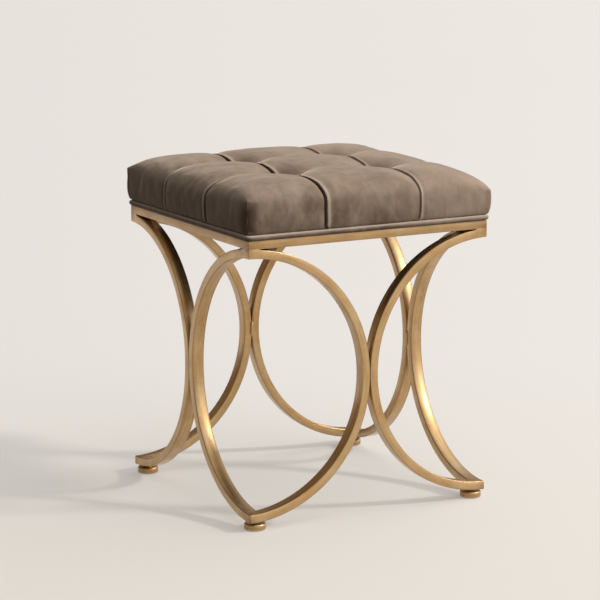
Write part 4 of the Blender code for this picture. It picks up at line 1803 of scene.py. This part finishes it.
@dataclass
class SolidsDressed(Assembly):
    """The solids whose shape is right as it is and that only need their finish."""

    def build(self) -> None:
        """Gives each solid its material."""
        kinds = {"corner_plate_": self.finishes.zinc, "foot_insert_": self.finishes.zinc,
                 "foot_pad_": self.finishes.rubber, "seat_board": self.finishes.plywood,
                 "tuft_washer_": self.finishes.nylon, "tuft_twine_": self.finishes.twine,
                 "foam_core": self.finishes.foam}
        for name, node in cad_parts.items():
            for start, finish in kinds.items():
                if name.startswith(start):
                    node.data.materials.clear()
                    node.data.materials.append(self.finishes.of(finish))
                    LOG.info("%s: %s", name, finish.name)


# The studio


@dataclass(frozen=True)
class Studio:
    """A pale seamless floor, one soft lamp from the right and the camera."""

    camera_at: Triple = (-1.754123, -3.241222, 0.997222)
    camera_right: Triple = (0.880200, -0.474590, -0.003602)
    camera_up: Triple = (0.092724, 0.164519, 0.982006)
    ground_view: Pair = (0.474, 0.880)
    ground_away: float = 3.684
    view_edge: float = 0.12
    lens: float = 148.228
    sensor: float = 36.0
    to_lamp: Triple = (0.676, -0.462, 0.574)
    lamp_strength: float = 1.6
    lamp_angle: float = 7.0
    lamp_colour: Colour = (1.0, 0.975, 0.94)
    sky: Colour = (1.0, 0.99, 0.975)
    sky_from: Triple = (0.58, -0.36, 0.73)
    sky_low: float = 0.02
    sky_high: float = 1.45
    sky_mirrored: Colour = (0.235, 0.170, 0.100)
    backdrop: Colour = (0.80, 0.765, 0.725)
    floor_radius: float = 40.0
    floor_drop: float = 0.0001
    floor_glow: float = 0.38
    floor_bounce: float = 0.55
    near_floor: Colour = (0.790, 0.744, 0.680)
    far_floor: Colour = (0.818, 0.783, 0.752)
    floor_fade: Pair = (-0.6, 0.9)
    left_shade: float = 0.94
    clouds: Patches = Patches(0.7, 1.0)
    cloud_shade: float = 0.99

    def floor_material(self) -> Material:
        """Builds the floor's finish, which partly glows so that its tone stays even.

        Returns:
            The material.
        """
        material, bench, shader = blank_material("pale_floor")
        place = bench.here()
        ahead_x, ahead_y = self.ground_view
        away = bench.vector("DOT_PRODUCT", place, (ahead_x, ahead_y, 0.0))
        aside = bench.vector("DOT_PRODUCT", place, (-ahead_y, ahead_x, 0.0))
        tone = bench.blend(bench.spread(away, *self.floor_fade), self.near_floor, self.far_floor)
        reach = bench.maths("MAXIMUM", bench.maths("ADD", away, self.ground_away), 1.0)
        share = bench.spread(bench.maths("DIVIDE", aside, reach), -self.view_edge,
                             self.view_edge, 1.0, self.left_shade)
        faint = bench.spread(self.clouds.mask(bench, place), 0.0, 1.0, self.cloud_shade, 1.0)
        tone = bench.blend(1.0, tone, bench.grey(bench.times(share, faint)), "MULTIPLY")
        path = bench.node("LightPath").outputs
        plain = 1 - self.floor_glow
        lit = bench.spread(path["Is Diffuse Ray"], 0.0, 1.0, plain, plain * self.floor_bounce)
        seen = bench.maths("MAXIMUM", path["Is Camera Ray"], path["Is Glossy Ray"])
        seen = bench.times(seen, self.floor_glow)
        bench.feed(shader, {
            "Base Color": bench.blend(1.0, tone, bench.grey(lit), "MULTIPLY"),
            "Emission Color": bench.blend(1.0, tone, bench.grey(seen), "MULTIPLY"),
            "Emission Strength": 1.0, "Roughness": 0.9, "Specular IOR Level": 0.1})
        return material

    def add_floor(self) -> None:
        """Adds the floor."""
        bm = bmesh.new()
        bmesh.ops.create_circle(bm, cap_ends=True, segments=96, radius=self.floor_radius)
        shift(bm, (0, 0, -self.floor_drop))
        floor = put("floor", stored("floor", bm))
        floor.data.materials.append(self.floor_material())

    def add_lights(self) -> None:
        """Adds the soft lamp and the sky's fill light."""
        lamp = bpy.data.lights.new("soft_lamp", "SUN")
        lamp.energy = self.lamp_strength
        lamp.angle = math.radians(self.lamp_angle)
        lamp.color = self.lamp_colour
        holder = put("soft_lamp", lamp)
        holder.rotation_euler = Vector(self.to_lamp).to_track_quat("Z", "Y").to_euler()
        world = bpy.data.worlds.new("studio")
        bpy.context.scene.world = world
        world.use_nodes = True
        bench = Bench(world.node_tree)
        path = bench.node("LightPath").outputs
        facing = bench.vector("DOT_PRODUCT", bench.value("TexCoord", output="Generated"),
                              tuple(Vector(self.sky_from).normalized()))
        soft = bench.spread(facing, 0.0, 1.0, self.sky_low, self.sky_high, "SMOOTHSTEP")
        lit = bench.blend(1.0, self.sky, bench.grey(soft), "MULTIPLY")
        lit = bench.blend(path["Is Glossy Ray"], lit, self.sky_mirrored, "LIGHTEN")
        colour = bench.blend(path["Is Camera Ray"], lit, self.backdrop)
        bench.feed(world.node_tree.nodes["Background"], {"Color": colour})

    def add_camera(self) -> None:
        """Adds the camera."""
        lens = bpy.data.cameras.new("camera")
        lens.lens = self.lens
        lens.sensor_width = self.sensor
        camera = put("camera", lens)
        right, up = Vector(self.camera_right), Vector(self.camera_up)
        turn = Matrix((right, up, right.cross(up).normalized())).transposed()
        camera.rotation_mode = "QUATERNION"
        camera.rotation_quaternion = turn.to_quaternion()
        camera.location = self.camera_at
        bpy.context.scene.camera = camera

    def build(self) -> None:
        """Sets the studio up."""
        self.add_floor()
        self.add_lights()
        self.add_camera()
        bpy.context.scene.view_settings.view_transform = "Standard"


def main() -> None:
    """Builds the dressed stool and its studio."""
    Effects().build()
    finishes = Finishes()
    Studio().build()
    MetalBase(finishes).build()
    ScrewFoot(finishes).build()
    SolidsDressed(finishes).build()
    Cushion(finishes).build()
    Piping(finishes).build()
    Underside(finishes).build()


if __name__ == "__main__":
    main()
